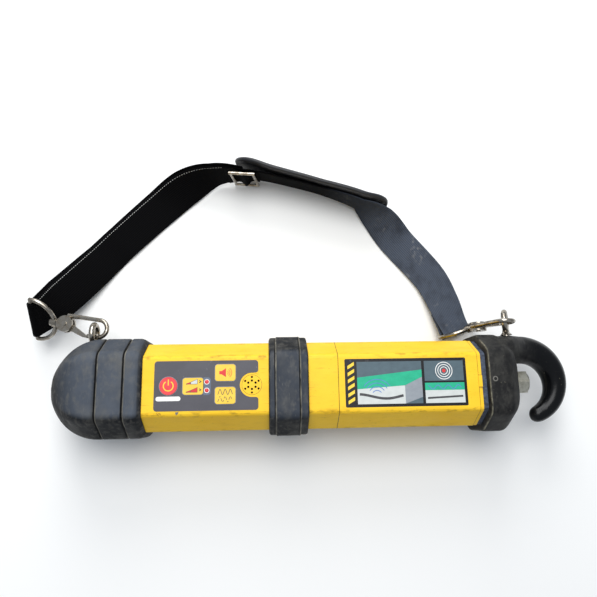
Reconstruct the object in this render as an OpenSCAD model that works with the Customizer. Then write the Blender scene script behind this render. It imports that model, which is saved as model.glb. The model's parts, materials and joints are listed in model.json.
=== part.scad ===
// Hand-held signal transmitter of a cable-locator set: a chamfered tube with a keypad, a rubber nose
// boot, a bumper, a cap with a hanging hook, and a webbing strap on two swivel snaps.
// X runs along the tube to the hook, Y to the strap side, Z up from the floor it lies on.

/* [Tube] */
// Width and depth of the yellow tube
tube_w = 86; // [80:1:96]
// Width of the flat front and back faces
tube_flat = 55; // [48:1:60]
// Depth that each slanted facet takes from the side
facet_drop = 25.5; // [20:0.5:30]
// Rounding of the long edges
edge_r = 5; // [3:0.5:8]
// Wall of the housings
wall = 3; // [2.5:0.5:4]
// Control housing, from the bumper's middle to the nose end
control_len = 184; // [176:1:200]
// From the bumper's middle to the seam between the housings
seam_len = 48; // [44:1:56]
// Battery housing, from the seam to its open end
battery_len = 141; // [138:1:160]

/* [Guards] */
// How far the boot, the bumper and the cap stand proud of the tube
guard_proud = 6; // [4:0.5:8]
// Bumper width along the tube
bumper_w = 38.4; // [30:1:46]
// Length of the boot's domed nose
nose_len = 52; // [44:1:60]
// Thickness of the boot's rubber on the nose
boot_wall = 5; // [4:0.5:6]
// Straight part of the boot
boot_len = 45; // [40:1:50]
// Width and depth of the boot's grooves
groove = 1.4; // [1:0.2:2]

/* [Hook cap] */
// Gap between the tube and the cap that the seal fills
seal_gap = 5; // [3:0.5:7]
// Straight part of the cap
cap_len = 19; // [16:1:24]
// Length of the cap's rounded end
cap_round = 25; // [22:1:28]
// Radius of the hook's centre line
hook_r = 35; // [33:0.5:38]
// Hook thickness at its root
hook_root = 29; // [26:0.5:31]
// Hook thickness at its tip
hook_tip = 17; // [14:0.5:20]
// Angle that the hook turns through
hook_turn = 157; // [145:1:170]
// Width across the flats of the cap bolt
bolt_af = 22; // [19:1:24]
// Height of the bolt head
bolt_head = 12.5; // [9:0.5:13]
// Diameter of the bolt's shank
bolt_d = 8; // [6:0.5:9]

/* [Keypad] */
// Length of the panel overlay
panel_l = 98.5; // [94:0.5:100]
// Height of the panel overlay
panel_h = 47; // [44:0.5:49]
// Thickness of the panel overlay
panel_t = 1; // [0.8:0.1:1.4]
// Length of the rectangular keys
key_l = 19.2; // [17:0.2:20]
// Height of the rectangular keys
key_h = 15.6; // [14:0.2:16]
// Diameter of the power key
power_d = 16.8; // [15:0.2:18]
// Travel of a key
key_travel = 0.4; // [0.3:0.05:0.6]
// Diameter of the loudspeaker grille
grille_d = 19; // [17:0.5:20]

/* [Strap] */
// Width of the webbing
web_w = 40; // [36:1:42]
// Thickness of the webbing
web_t = 1.6; // [1.2:0.1:2]
// How far the strap lies out from its ends
strap_reach = 176; // [160:1:200]
// Height of the shoulder pad
pad_w = 54; // [50:1:60]
// Thickness of the shoulder pad
pad_t = 7; // [5:0.5:9]

/* [Snaps] */
// Wire of the snap hooks
snap_d = 4.5; // [4:0.1:5]
// Radius of the snap's nose at its centre line
snap_r = 9.1; // [9:0.1:9.6]
// Wire of the strap eyes
eye_d = 6; // [5:0.5:6]
// Radius of the strap eyes at their centre line
eye_r = 9.5; // [9.5:0.1:10]

/* [Hidden] */
$fn = 48;
cut = 1;
clear = 0.3;
fit = 0.05;

// Tube places
half_w = tube_w / 2;
half_flat = tube_flat / 2;
axis_z = half_w + guard_proud;
front_z = axis_z + half_w;
tube_x0 = -control_len;
seam_x = seam_len;
tube_x1 = seam_len + battery_len;
corner_steps = 3;

// Slant of the facets, and the way from each corner to its rounding's centre
facet_run = half_w - half_flat;
facet_slant = norm([facet_run, facet_drop]);
facet_n = [facet_drop / facet_slant, facet_run / facet_slant];
facet_ang = atan2(facet_n[1], facet_n[0]);
front_mitre = ([0, 1] + facet_n) / (1 + facet_n[1]);
side_mitre = ([1, 0] + facet_n) / (1 + facet_n[0]);
least_r = 0.6;

function arc_pts(c, r, a0, a1) =
  [for (k = [0:corner_steps]) let (a = a0 + (a1 - a0) * k / corner_steps) c + r * [cos(a), sin(a)]];

// Section of the tube grown by p on every side, counter-clockwise seen from the hook end
function quarter(p) = let (r = max(edge_r + p, least_r)) concat(
  arc_pts([half_w, half_w - facet_drop] + (p - r) * side_mitre, r, 0, facet_ang),
  arc_pts([half_flat, half_w] + (p - r) * front_mitre, r, facet_ang, 90));
function turned(q, sy, sz) = [for (a = q) [a[0] * sy, a[1] * sz]];
function backwards(q) = [for (i = [len(q) - 1:-1:0]) q[i]];
function section(p) = concat(
  quarter(p),
  backwards(turned(quarter(p), -1, 1)),
  turned(quarter(p), -1, -1),
  backwards(turned(quarter(p), 1, -1)));
function ring_at(x, p, s) = [for (a = section(p)) [x, a[0] * s, axis_z + a[1] * s]];

// A closed skin over rings with the same number of points
module loft(rings) {
  n = len(rings[0]);
  m = len(rings);
  sides = [for (j = [0:m - 2], i = [0:n - 1]) let (a = j * n + i, b = j * n + (i + 1) % n)
    each [[a, a + n, b], [b, a + n, b + n]]];
  ends = [[for (i = [0:n - 1]) i], [for (i = [n - 1:-1:0]) (m - 1) * n + i]];
  polyhedron([for (r = rings) each r], concat(sides, ends));
}

// The same for twisted bands: each face is split about its middle, so that both sides keep one shape
module soft_loft(rings) {
  n = len(rings[0]);
  m = len(rings);
  corners = [for (r = rings) each r];
  quads = [for (j = [0:m - 2], i = [0:n - 1]) let (a = j * n + i, b = j * n + (i + 1) % n)
    [a, a + n, b + n, b]];
  middles = [for (q = quads) (corners[q[0]] + corners[q[1]] + corners[q[2]] + corners[q[3]]) / 4];
  sides = [for (k = [0:len(quads) - 1], i = [0:3]) [quads[k][i], quads[k][(i + 1) % 4], m * n + k]];
  ends = [[for (i = [0:n - 1]) i], [for (i = [n - 1:-1:0]) (m - 1) * n + i]];
  polyhedron(concat(corners, middles), concat(sides, ends));
}

// Carries a flat outline in Y and Z along the tube
module along_x(x0, x1) {
  translate([x0, 0, axis_z]) rotate([90, 0, 90]) linear_extrude(x1 - x0) children();
}
module tube_solid(x0, x1, p) {
  along_x(x0, x1) polygon(section(p));
}
// A flat plate with rounded corners on the XY plane
module round_plate(l, h, r) {
  square([l - 2 * r, h], center = true);
  square([l, h - 2 * r], center = true);
  for (x = [-1, 1], y = [-1, 1]) translate([x * (l / 2 - r), y * (h / 2 - r)]) circle(r);
}
module ring_of_wire(r, d) {
  rotate_extrude() translate([r, 0]) circle(d = d);
}

// Panel places
panel_gap = 10;
panel_x = -(bumper_w / 2 + panel_gap + panel_l / 2);
panel_z = front_z - panel_t;
panel_r = 3;
key_r = 2.5;
power_off = 35.7;
level_off = 12.6;
pair_off = 17.9;
grille_in = 6.1;
surround = 2;
power_x = panel_x - power_off;
level_x = panel_x - level_off;
pair_x = panel_x + pair_off;
volume_y = 11.8;
signal_y = -9.7;
level_y = -0.6;
grille_x = panel_x + panel_l / 2 - grille_in;
surround_d = grille_d + 2 * surround;
stem_d = 6;
key_gap = 0.25;
key_proud = 0.7;
key_skirt = 0.6;
board_t = 1.6;
switch_h = 3.4;
switch_w = 6;
board_z = front_z - wall - switch_h - key_travel - key_skirt;
keys = [[power_x, 0], [level_x, level_y], [pair_x, volume_y], [pair_x, signal_y]];

module control_housing() {
  color("gold") union() {
    difference() {
      tube_solid(tube_x0, seam_x, 0);
      tube_solid(tube_x0 + wall, seam_x + cut, -wall);
      translate([panel_x, 0, panel_z]) linear_extrude(panel_t + cut) panel_outline();
      for (k = keys) translate([k[0], k[1], front_z - wall - cut])
        cylinder(d = stem_d + 2 * clear, h = wall + 2 * cut);
      translate([grille_x, 0, front_z - grille_t]) cylinder(d = grille_d, h = grille_t + cut);
      translate([grille_x, 0, front_z - wall - cut]) cylinder(d = grille_d - 2 * ledge, h = wall + cut);
      lamp_places() translate([0, 0, -wall - cut]) cylinder(d = lamp_d + 2 * clear, h = wall + 2 * cut);
      along_x(tube_x0 - cut, tube_x0 + wall + cut) circle(d = lead_d);
    }
    post_places() translate([0, 0, board_z]) cylinder(d = post_d, h = front_z - wall - board_z + fit);
  }
}
// Hole in the nose end for the antenna's lead
lead_d = 12;

latch_w = 11;
latch_l = 3.6;
latch_t = 0.7;
rim_band = 3.4;
rim_step = 0.4;
label_l = 119.5;
label_h = 46.4;
label_t = 0.4;
label_r = 1.5;
label_shift = 4.5;
label_x = (seam_x + tube_x1) / 2 - label_shift;
module battery_housing() {
  color("gold") difference() {
    union() {
      tube_solid(seam_x, tube_x1 - rim_band, 0);
      tube_solid(tube_x1 - rim_band, tube_x1, -rim_step);
      translate([tube_x1 - latch_l, -latch_w / 2, front_z - wall])
        cube([latch_l, latch_w, wall + latch_t]);
    }
    tube_solid(seam_x - cut, tube_x1 + cut, -wall);
    translate([label_x, 0, front_z - label_t]) linear_extrude(label_t + cut)
      round_plate(label_l, label_h, label_r);
  }
}

sleeve_l = 30;
sleeve_t = 2.4;
module joint_sleeve() {
  color("dimgray") difference() {
    tube_solid(seam_x - sleeve_l / 2, seam_x + sleeve_l / 2, -wall);
    tube_solid(seam_x - sleeve_l / 2 - cut, seam_x + sleeve_l / 2 + cut, -wall - sleeve_t);
  }
}

// Dome of the nose: an ellipse of the given length closes the section
dome_steps = 9;
dome_stop_share = 0.985;
function dome_share(k) = sin(90 * k / dome_steps) * dome_stop_share;
// Towards its tip the section turns from the tube's shape to a circle
function rounder(a, r, m) = a * (1 - m + m * r / norm(a));
function dome_ring(x, p, share) = let (s = sqrt(1 - pow(share, 2)), m = pow(share, 2))
  [for (a = section(p)) let (b = rounder(a, half_w + p, m)) [x, b[0] * s, axis_z + b[1] * s]];
function dome_rings(x, l, p) = [for (k = [dome_steps:-1:0]) let (share = dome_share(k))
  dome_ring(x - l * share, p, share)];
cover_t = 3;
boot_x1 = tube_x0 + boot_len;
module nose_cover() {
  color("dimgray") difference() {
    loft(dome_rings(tube_x0, nose_len - boot_wall - clear, 0));
    loft(concat(
      dome_rings(tube_x0, nose_len - boot_wall - clear - cover_t, -cover_t),
      [ring_at(tube_x0 + cut, -cover_t, 1)]));
    nose_eye_place() eye_bore(nose_seat, ring_room);
  }
}

// Boot barrel: each pair is a place along it and how far the skin stands proud there
groove_a = 2;
groove_b = 27;
lip_w = 3.4;
lip_drop = 4.8;
function boot_profile() = [
  [groove_a, guard_proud],
  [groove_a + groove / 4, guard_proud - groove],
  [groove_a + groove, guard_proud - groove],
  [groove_a + groove * 2, guard_proud],
  [groove_b, guard_proud],
  [groove_b + groove / 4, guard_proud - groove],
  [groove_b + groove, guard_proud - groove],
  [groove_b + groove * 2, guard_proud],
  [boot_len - 2 * lip_w, guard_proud],
  [boot_len - lip_w, guard_proud - lip_drop / 4],
  [boot_len, guard_proud - lip_drop]
];
module nose_boot() {
  color("darkslategray") difference() {
    loft(concat(dome_rings(tube_x0, nose_len, guard_proud),
      [for (b = boot_profile()) ring_at(tube_x0 + b[0], b[1], 1)]));
    loft(concat(dome_rings(tube_x0, nose_len - boot_wall, 0), [ring_at(boot_x1 + cut, 0, 1)]));
    nose_eye_place() eye_bore(nose_seat, ring_room);
  }
}

bumper_land = 12;
bumper_step = 0.8;
bumper_bevel = 2.4;
module centre_bumper() {
  h = bumper_w / 2;
  color("darkslategray") difference() {
    loft([
      ring_at(-h, guard_proud - bumper_bevel, 1),
      ring_at(-h + bumper_bevel, guard_proud - bumper_step, 1),
      ring_at(-bumper_land, guard_proud - bumper_step, 1),
      ring_at(-bumper_land + bumper_step, guard_proud, 1),
      ring_at(bumper_land - bumper_step, guard_proud, 1),
      ring_at(bumper_land, guard_proud - bumper_step, 1),
      ring_at(h - bumper_bevel, guard_proud - bumper_step, 1),
      ring_at(h, guard_proud - bumper_bevel, 1)
    ]);
    tube_solid(-h - cut, h + cut, 0);
  }
}

// Hook cap: a barrel that rounds down to an end face, with the hook growing out of its strap side
cap_x0 = tube_x1 + seal_gap;
cap_x1 = cap_x0 + cap_len;
cap_end = cap_x1 + cap_round;
cap_wall = 5;
cap_steps = 7;
end_share = 0.3;
cap_power = 1.85;
cap_rim = 1.2;
cavity_l = cap_len + cap_wall;
// The hook's section is a squared oval at the root and a circle from the bend on
hook_sides = 20;
hook_steps = 13;
hook_out = 10;
hook_drop = 0.4;
root_in = 4;
hook_x = cap_end + hook_out;
hook_y = half_w + guard_proud - hook_root / 2 - hook_r - hook_drop;
root_x = cap_x1 - root_in;
taper = 1.3;
root_depth_share = 0.62;
// Each root ring: its place on the way to the bend, its size, its depth and how square it is
root_shares = [[0, 0.8, 2.2, 5], [0.42, 1, 2.05, 4.2], [0.7, 1, 1.6, 3.2], [0.92, 1, 1.15, 2.5]];
// Each tip ring: its place on the rounding and its size
tip_shares = [[0.45, 0.9], [0.8, 0.62], [0.97, 0.28]];
bend_power = 2.1;
tip_ang = hook_tip / 2 / hook_r * 180 / PI;
function oval(a, b, e) = [for (i = [0:hook_sides - 1])
  let (t = 360 * i / hook_sides, c = cos(t), s = sin(t))
  [sign(c) * a * pow(abs(c), 2 / e), sign(s) * b * pow(abs(s), 2 / e)]];
// Section across the hook at an angle of its bend: a in the plane of the bend, b along Z
function hook_ring(t, a, b, e) = [for (o = oval(a, b, e))
  [hook_x + (hook_r + o[0]) * cos(t), hook_y + (hook_r + o[0]) * sin(t), axis_z + o[1]]];
function root_ring(x, a, b, e) = [for (o = oval(a, b, e)) [x, hook_y + hook_r + o[0], axis_z + o[1]]];
function hook_size(k) = hook_root + (hook_tip - hook_root) * pow(k / hook_steps, taper);
function hook_deep(k) = 1 + (2 * root_depth_share - 1) * (1 - k / hook_steps);
function hook_rings() = concat(
  [for (q = root_shares) root_ring(root_x + q[0] * (hook_x - root_x), q[1] * hook_root / 2,
    q[2] * hook_root * root_depth_share, q[3])],
  [for (k = [0:hook_steps]) hook_ring(90 - hook_turn * k / hook_steps, hook_size(k) / 2,
    hook_size(k) / 2 * hook_deep(k), bend_power)],
  [for (q = tip_shares) let (r = q[1] * hook_tip / 2) hook_ring(90 - hook_turn - tip_ang * q[0], r, r, 2)]);
module hook_cap() {
  color("dimgray") difference() {
    union() {
      loft(concat(
        [ring_at(cap_x0, guard_proud - cap_rim, 1), ring_at(cap_x0 + cap_rim, guard_proud, 1)],
        [for (k = [0:cap_steps]) let (u = k / cap_steps)
          ring_at(cap_x1 + cap_round * u, guard_proud, 1 - (1 - end_share) * pow(u, cap_power))]));
      loft(hook_rings());
      tube_solid(carrier_x1 + clear, cap_x0 + cap_rim, -wall - clear);
    }
    tube_solid(carrier_x1 - cut, cap_x0 + cavity_l, -wall - clear - cap_wall);
    along_x(cap_x0, cap_end + cut) circle(d = bolt_d + 2 * fit);
    hook_eye_place() eye_bore(hook_seat, clear);
  }
}
seal_inset = 1;
module cap_seal() {
  color("slategray") difference() {
    tube_solid(tube_x1, cap_x0, -seal_inset);
    tube_solid(tube_x1 - cut, cap_x0 + cut, -wall);
  }
}

washer_d = 25;
washer_t = 1.8;
bolt_chamfer = 1.6;
bolt_crown = bolt_af - bolt_chamfer / 2;
module bolt_washer() {
  color("silver") along_x(cap_end, cap_end + washer_t) difference() {
    circle(d = washer_d);
    circle(d = bolt_d + 2 * fit);
  }
}
// The bolt runs through the cell carrier to the threaded insert
insert_l = 12;
bulk_t = 4;
bulk_x = seam_x - sleeve_l / 2;
bolt_x0 = bulk_x - insert_l / 2;
module cap_bolt() {
  head_x = cap_end + washer_t;
  color("silver") union() {
    along_x(bolt_x0, head_x + cut) circle(d = bolt_d);
    along_x(head_x, head_x + bolt_head - bolt_chamfer) rotate(30) circle(d = bolt_af / cos(30), $fn = 6);
    translate([head_x + bolt_head - bolt_chamfer, 0, axis_z]) rotate([0, 90, 0])
      cylinder(d1 = bolt_crown, d2 = bolt_crown - bolt_chamfer, h = bolt_chamfer);
  }
}
insert_d = 14;
flange_d = 20;
flange_t = 2;
module bulkhead() {
  color("darkgray") difference() {
    tube_solid(bulk_x, bulk_x + bulk_t, -wall - sleeve_t);
    along_x(bulk_x - cut, bulk_x + bulk_t + cut) circle(d = insert_d);
  }
}
module threaded_insert() {
  color("goldenrod") difference() {
    union() {
      along_x(bulk_x - insert_l, bulk_x + bulk_t) circle(d = insert_d);
      along_x(bulk_x - flange_t, bulk_x) circle(d = flange_d);
    }
    along_x(bulk_x - insert_l - cut, bulk_x + bulk_t + cut) circle(d = bolt_d + 2 * fit);
  }
}

// Battery pack: two rows of four round cells round the bolt, in a carrier between two end plates
cell_d = 33.2;
cell_l = 61.5;
cell_pitch = 16.9;
nub_d = 9;
nub_h = 1.5;
plate_t = 3;
contact_t = 0.8;
contact_d = 14;
carrier_x0 = bulk_x + bulk_t;
cells_x0 = carrier_x0 + plate_t + contact_t;
cells_x1 = cells_x0 + 2 * cell_l;
carrier_x1 = cells_x1 + contact_t + plate_t;
spine_d = 12.4;
module cell_places() {
  for (y = [-1, 1], z = [-1, 1]) translate([y * cell_pitch, z * cell_pitch]) children();
}
module cell_carrier() {
  color("black") difference() {
    union() {
      tube_solid(carrier_x0, carrier_x0 + plate_t, -wall - sleeve_t - clear);
      tube_solid(carrier_x1 - plate_t, carrier_x1, -wall - sleeve_t - clear);
      along_x(carrier_x0, carrier_x1) circle(d = spine_d);
    }
    along_x(carrier_x0 - cut, carrier_x1 + cut) circle(d = bolt_d + 2 * clear);
  }
}
module battery_cells() {
  color("seagreen") for (row = [0, 1]) {
    x = cells_x0 + row * cell_l;
    along_x(x, x + cell_l - nub_h) cell_places() circle(d = cell_d);
    along_x(x + cell_l - nub_h, x + cell_l - clear) cell_places() circle(d = nub_d);
  }
}
module contact_plates() {
  color("goldenrod") for (x = [carrier_x0 + plate_t, cells_x1], y = [-1, 1])
    along_x(x, x + contact_t) translate([y * cell_pitch, 0])
      round_plate(contact_d, 2 * cell_pitch + contact_d, contact_d / 2 - fit);
}

// Panel: an overlay with four keys, a window with two lamps and a blank writing strip
overlay_proud = 0.3;
panel_top = front_z + overlay_proud;
lamp_d = 4.4;
lamp_gap = 8;
window_l = 6.4;
window_h = 14.4;
window_x = level_x + key_l / 2 + key_gap + window_l / 2;
strip_l = 23.2;
strip_h = 5;
strip_t = 0.3;
strip_y = -12;
lamp_rise = 0.5;
module lamp_places() {
  for (y = [-1, 1]) translate([window_x, level_y + y * lamp_gap / 2, front_z]) children();
}
module panel_outline() {
  difference() {
    round_plate(panel_l, panel_h, panel_r);
    translate([grille_x - panel_x, 0]) circle(d = surround_d);
  }
}
module key_outline(grow) {
  round_plate(key_l + 2 * grow, key_h + 2 * grow, key_r + grow);
}
module keypad_overlay() {
  color("dimgray") translate([0, 0, panel_z]) linear_extrude(panel_t + overlay_proud) difference() {
    translate([panel_x, 0]) panel_outline();
    translate([power_x, 0]) circle(d = power_d + 2 * key_gap);
    for (k = [1:3]) translate(keys[k]) key_outline(key_gap);
    translate([window_x, level_y]) round_plate(window_l + key_gap, window_h, key_r / 2);
  }
}
key_rest = 0.05;
key_z0 = panel_z + key_travel + key_rest;
key_z1 = panel_top + key_proud;
stem_z0 = board_z + switch_h + key_travel + key_rest;
module key_stem(k) {
  translate([keys[k][0], keys[k][1], stem_z0]) cylinder(d = stem_d, h = key_z0 - stem_z0 + key_rest);
}
module soft_key(k) {
  translate([keys[k][0], keys[k][1], key_z0]) linear_extrude(key_z1 - key_z0) key_outline(0);
  key_stem(k);
}
module power_key() {
  color("crimson") union() {
    translate([power_x, 0, key_z0]) cylinder(d = power_d, h = key_z1 - key_z0);
    key_stem(0);
  }
}
module level_key() {
  color("gold") soft_key(1);
}
module volume_key() {
  color("gold") soft_key(2);
}
module signal_key() {
  color("gold") soft_key(3);
}
module lamp_window() {
  color("lightsteelblue") translate([window_x, level_y, panel_z]) linear_extrude(panel_t + overlay_proud)
    difference() {
      round_plate(window_l, window_h - key_gap, key_r / 2);
      for (y = [-1, 1]) translate([0, y * lamp_gap / 2]) circle(d = lamp_d + 2 * key_gap);
    }
}
module level_lamps() {
  color("red") lamp_places() {
    translate([0, 0, board_z - front_z]) cylinder(d = lamp_d, h = front_z - board_z + overlay_proud);
    translate([0, 0, overlay_proud - fit]) cylinder(d1 = lamp_d, d2 = lamp_d / 2, h = lamp_rise + fit);
  }
}
module marking_strip() {
  color("white") translate([power_x, strip_y, panel_top]) linear_extrude(strip_t)
    round_plate(strip_l, strip_h, strip_h / 4);
}
// Grille with two rings of holes, on a ledge in the housing's boss
grille_t = 2;
ledge = 1.5;
hole_d = 2.2;
hole_ring_shares = [0.21, 0.39];
holes_in_ring = 6;
module speaker_grille() {
  color("gold") translate([grille_x, 0, front_z - grille_t]) linear_extrude(grille_t) difference() {
    circle(d = grille_d - 2 * fit);
    for (q = hole_ring_shares, i = [0:holes_in_ring - 1]) rotate(90 + i * 360 / holes_in_ring)
      translate([q * grille_d, 0]) circle(d = hole_d, $fn = 16);
  }
}
speaker_d = 27;
speaker_h = 9;
magnet_d = 15;
magnet_h = 5;
module loudspeaker() {
  color("darkgray") translate([grille_x, 0, front_z - wall]) {
    translate([0, 0, -speaker_h]) cylinder(d1 = magnet_d + 2 * ledge, d2 = speaker_d, h = speaker_h);
    translate([0, 0, -speaker_h - magnet_h]) cylinder(d = magnet_d, h = magnet_h + fit);
  }
}
// Board on posts under the panel
board_w = 46;
board_x0 = panel_x - panel_l / 2;
board_x1 = grille_x - speaker_d / 2 - 2 * ledge;
post_d = 6;
post_inset = 4;
module post_places() {
  for (x = [board_x0 + post_inset, board_x1 - post_inset], y = [-1, 1])
    translate([x, y * (board_w / 2 - post_inset), 0]) children();
}
module control_board() {
  color("darkgreen") translate([board_x0, -board_w / 2, board_z - board_t])
    cube([board_x1 - board_x0, board_w, board_t]);
}
module key_switches() {
  color("black") for (k = keys) translate([k[0], k[1], board_z]) {
    linear_extrude(switch_h / 2) square(switch_w, center = true);
    translate([0, 0, switch_h / 2 - fit]) cylinder(d = switch_w / 2, h = switch_h / 2 + fit);
  }
}
// Antenna: a ferrite rod in two cradles, with its coil between them
rod_d = 12;
rod_drop = 15;
rod_x0 = tube_x0 + 2 * rod_d;
rod_x1 = -rod_d;
coil_d = 24;
cradle_t = 5;
cradle_in = 14;
module rod_place(x0, x1) {
  translate([0, 0, -rod_drop]) along_x(x0, x1) children();
}
module ferrite_rod() {
  color("dimgray") rod_place(rod_x0, rod_x1) circle(d = rod_d);
}
module antenna_coil() {
  color("peru") rod_place(rod_x0 + cradle_in + 2 * cradle_t, rod_x1 - cradle_in - 2 * cradle_t) difference() {
    circle(d = coil_d);
    circle(d = rod_d);
  }
}
module rod_cradles() {
  color("black") for (x = [rod_x0 + cradle_in, rod_x1 - cradle_in - cradle_t]) difference() {
    intersection() {
      tube_solid(x, x + cradle_t, -wall);
      translate([x - cut, -half_w, 0]) cube([cradle_t + 2 * cut, tube_w, axis_z - rod_drop + rod_d]);
    }
    rod_place(x - cut, x + cradle_t + cut) circle(d = rod_d);
  }
}
module diagram_label() {
  color("darkslategray") translate([label_x, 0, front_z - label_t]) linear_extrude(label_t)
    round_plate(label_l, label_h, label_r);
}

// Strap eyes: a ring across the tube's length on a threaded shank
eye_shank = 7;
eye_collar = 12;
collar_h = 3;
shank_in = 18;
nose_sink = 6;
hook_sink = 1;
nose_eye_in = 15;
hook_eye_in = 10.1;
hook_eye_rise = 18.8;
nose_eye_lift = 1;
hook_eye_lift = 2;
hook_eye_turn = 27;
// The recess under the nose eye also clears the foot of its ring
ring_room = 2.6;
nose_seat = half_w + guard_proud - nose_sink;
hook_seat = half_w + guard_proud - hook_sink;
nose_eye_x = tube_x0 - nose_eye_in;
hook_eye_x = cap_end - hook_eye_in;
nose_ring_y = nose_seat + collar_h + eye_r + nose_eye_lift;
hook_ring_y = hook_seat + collar_h + eye_r + hook_eye_lift;
module nose_eye_place() {
  translate([nose_eye_x, 0, axis_z]) rotate([-90, 0, 0]) children();
}
module hook_eye_place() {
  translate([hook_eye_x, 0, axis_z + hook_eye_rise]) rotate([-90, -hook_eye_turn, 0]) children();
}
module eye_bore(seat, room) {
  translate([0, 0, seat - shank_in - cut]) cylinder(d = eye_shank + 2 * fit, h = shank_in + 2 * cut);
  translate([0, 0, seat]) cylinder(d = eye_collar + 2 * room, h = eye_collar);
}
module eye(seat, ring_y) {
  translate([0, 0, seat - shank_in]) cylinder(d = eye_shank, h = ring_y - eye_r - seat + shank_in);
  translate([0, 0, seat]) cylinder(d1 = eye_collar, d2 = eye_shank, h = collar_h);
  translate([0, 0, ring_y]) rotate([0, 90, 0]) ring_of_wire(eye_r, eye_d);
}
module nose_eye() {
  color("silver") nose_eye_place() eye(nose_seat, nose_ring_y);
}
module hook_eye() {
  color("silver") hook_eye_place() eye(hook_seat, hook_ring_y);
}
nut_af = 11;
nut_t = 4;
nut_gap = 0.3;
// The nut bears on the inside of the nose cover
nut_front = nose_eye_in + nut_af / cos(30) / 2;
cover_in = nose_len - boot_wall - clear - cover_t;
nut_y = (half_w - cover_t) * sqrt(1 - pow(nut_front / cover_in, 2)) - nut_t - nut_gap;
module eye_nut() {
  color("silver") nose_eye_place() translate([0, 0, nut_y]) difference() {
    cylinder(d = nut_af / cos(30), h = nut_t, $fn = 6);
    translate([0, 0, -cut]) cylinder(d = eye_shank + 2 * fit, h = nut_t + 2 * cut);
  }
}

// Snap hooks, each in its own frame: x from the D-loop to the nose, y to the back arm, z across the snap.
// The origin is the middle of the nose, and the mouth's rod passes through the strap eye.
loop_d = 4.5;
loop_r = 24;
boss_r = 8.5;
boss_t = 9;
pivot_x = -36;
neck_l = 1.1;
neck_d = 8.4;
collar_l = 4.5;
collar_d = 9.5;
rivet_d = 4;
rivet_head = 7.5;
rivet_head_t = 2.4;
mouth_l = 10.5;
gate_t = 3;
gate_hub_r = 5;
gate_tip_r = 2;
gate_gap = 1.1;
pin_d = 3;
pin_head = 5;
pin_head_t = 0.8;
neck_x = pivot_x - boss_r - neck_l;
collar_x = neck_x - clear - collar_l;
bar_x = collar_x - loop_r + collar_l / 2;
left_back = 3;
right_back = 7;
mouth_in = 3;
right_in = 2;
left_tilt = 8;
left_turn = 10;
left_roll = 42;
right_tilt = 66;
right_roll = 20;
left_eye = [nose_eye_x, nose_ring_y, axis_z];
right_eye = [hook_eye_x, hook_ring_y, axis_z + hook_eye_rise];
// The left snap lies flat beside the boot, and the right one stands on edge beside the cap
left_u = [cos(left_tilt) * cos(left_turn), -cos(left_tilt) * sin(left_turn), sin(left_tilt)];
left_v = [sin(left_turn), cos(left_turn), 0];
left_w = cross(left_u, left_v);
right_u = [cos(right_tilt), 0, sin(right_tilt)];
right_v = [-sin(right_tilt), 0, cos(right_tilt)];
right_w = cross(right_u, right_v);
left_nose = left_eye + left_back * left_u + (snap_r - mouth_in) * left_v;
right_nose = right_eye + right_back * right_u + snap_r * right_v + right_in * right_w;
module left_frame() {
  translate(left_nose) rotate([0, -left_tilt, -left_turn]) children();
}
module right_frame() {
  translate(right_nose) rotate([0, -right_tilt, 0]) rotate([90, 0, 0]) children();
}
module rod_x(x0, x1, y, d) {
  translate([x0, y, 0]) rotate([0, 90, 0]) cylinder(d = d, h = x1 - x0);
}
module snap_body() {
  difference() {
    union() {
      rotate(-90) rotate_extrude(angle = 180) translate([snap_r, 0]) circle(d = snap_d);
      rod_x(-mouth_l, 0, -snap_r, snap_d);
      rod_x(pivot_x, 0, snap_r, snap_d);
      translate([pivot_x, 0, -boss_t / 2]) cylinder(r = boss_r, h = boss_t);
      rod_x(neck_x, pivot_x, 0, neck_d);
    }
    translate([pivot_x - gate_hub_r - clear, -2 * boss_r, -gate_t / 2 - clear])
      cube([boss_r + 3 * gate_hub_r, 2 * boss_r + gate_hub_r + clear, gate_t + 2 * clear]);
    translate([pivot_x, 0, -boss_t]) cylinder(d = pin_d + 2 * fit, h = 2 * boss_t);
    rod_x(neck_x - cut, pivot_x - gate_hub_r - clear, 0, rivet_d + 2 * fit);
  }
}
module snap_gate() {
  tip = [-mouth_l - gate_tip_r - gate_gap, -snap_r];
  difference() {
    translate([0, 0, -gate_t / 2]) linear_extrude(gate_t) union() {
      translate([pivot_x, 0]) circle(gate_hub_r);
      hull() {
        translate([pivot_x, 0]) circle(gate_hub_r - gate_tip_r / 2, $fn = 32);
        translate(tip) circle(gate_tip_r, $fn = 32);
      }
    }
    translate([pivot_x, 0, -boss_t]) cylinder(d = pin_d + 2 * fit, h = 2 * boss_t);
  }
}
module gate_pin() {
  translate([pivot_x, 0, -boss_t / 2]) cylinder(d = pin_d, h = boss_t);
  for (s = [-1, 1]) translate([pivot_x, 0, s * (boss_t + pin_head_t) / 2])
    cylinder(d = pin_head, h = pin_head_t, center = true);
}
module swivel_rivet() {
  rod_x(collar_x - clear, pivot_x - gate_hub_r - 2 * clear, 0, rivet_d);
  rod_x(collar_x - clear - rivet_head_t, collar_x - clear, 0, rivet_head);
}
module d_loop(roll) {
  rotate([roll, 0, 0]) difference() {
    union() {
      translate([bar_x, 0, 0]) rotate(-90) rotate_extrude(angle = 180)
        translate([loop_r, 0]) circle(d = loop_d);
      translate([bar_x, -loop_r, 0]) rotate([-90, 0, 0]) cylinder(d = loop_d, h = 2 * loop_r);
      for (s = [-1, 1]) translate([bar_x, s * loop_r, 0]) sphere(d = loop_d);
      rod_x(collar_x, collar_x + collar_l, 0, collar_d);
    }
    rod_x(collar_x - loop_d, collar_x + collar_l + cut, 0, rivet_d + 2 * fit);
    rod_x(collar_x - loop_d, collar_x, 0, rivet_head + 2 * clear);
  }
}
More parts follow.
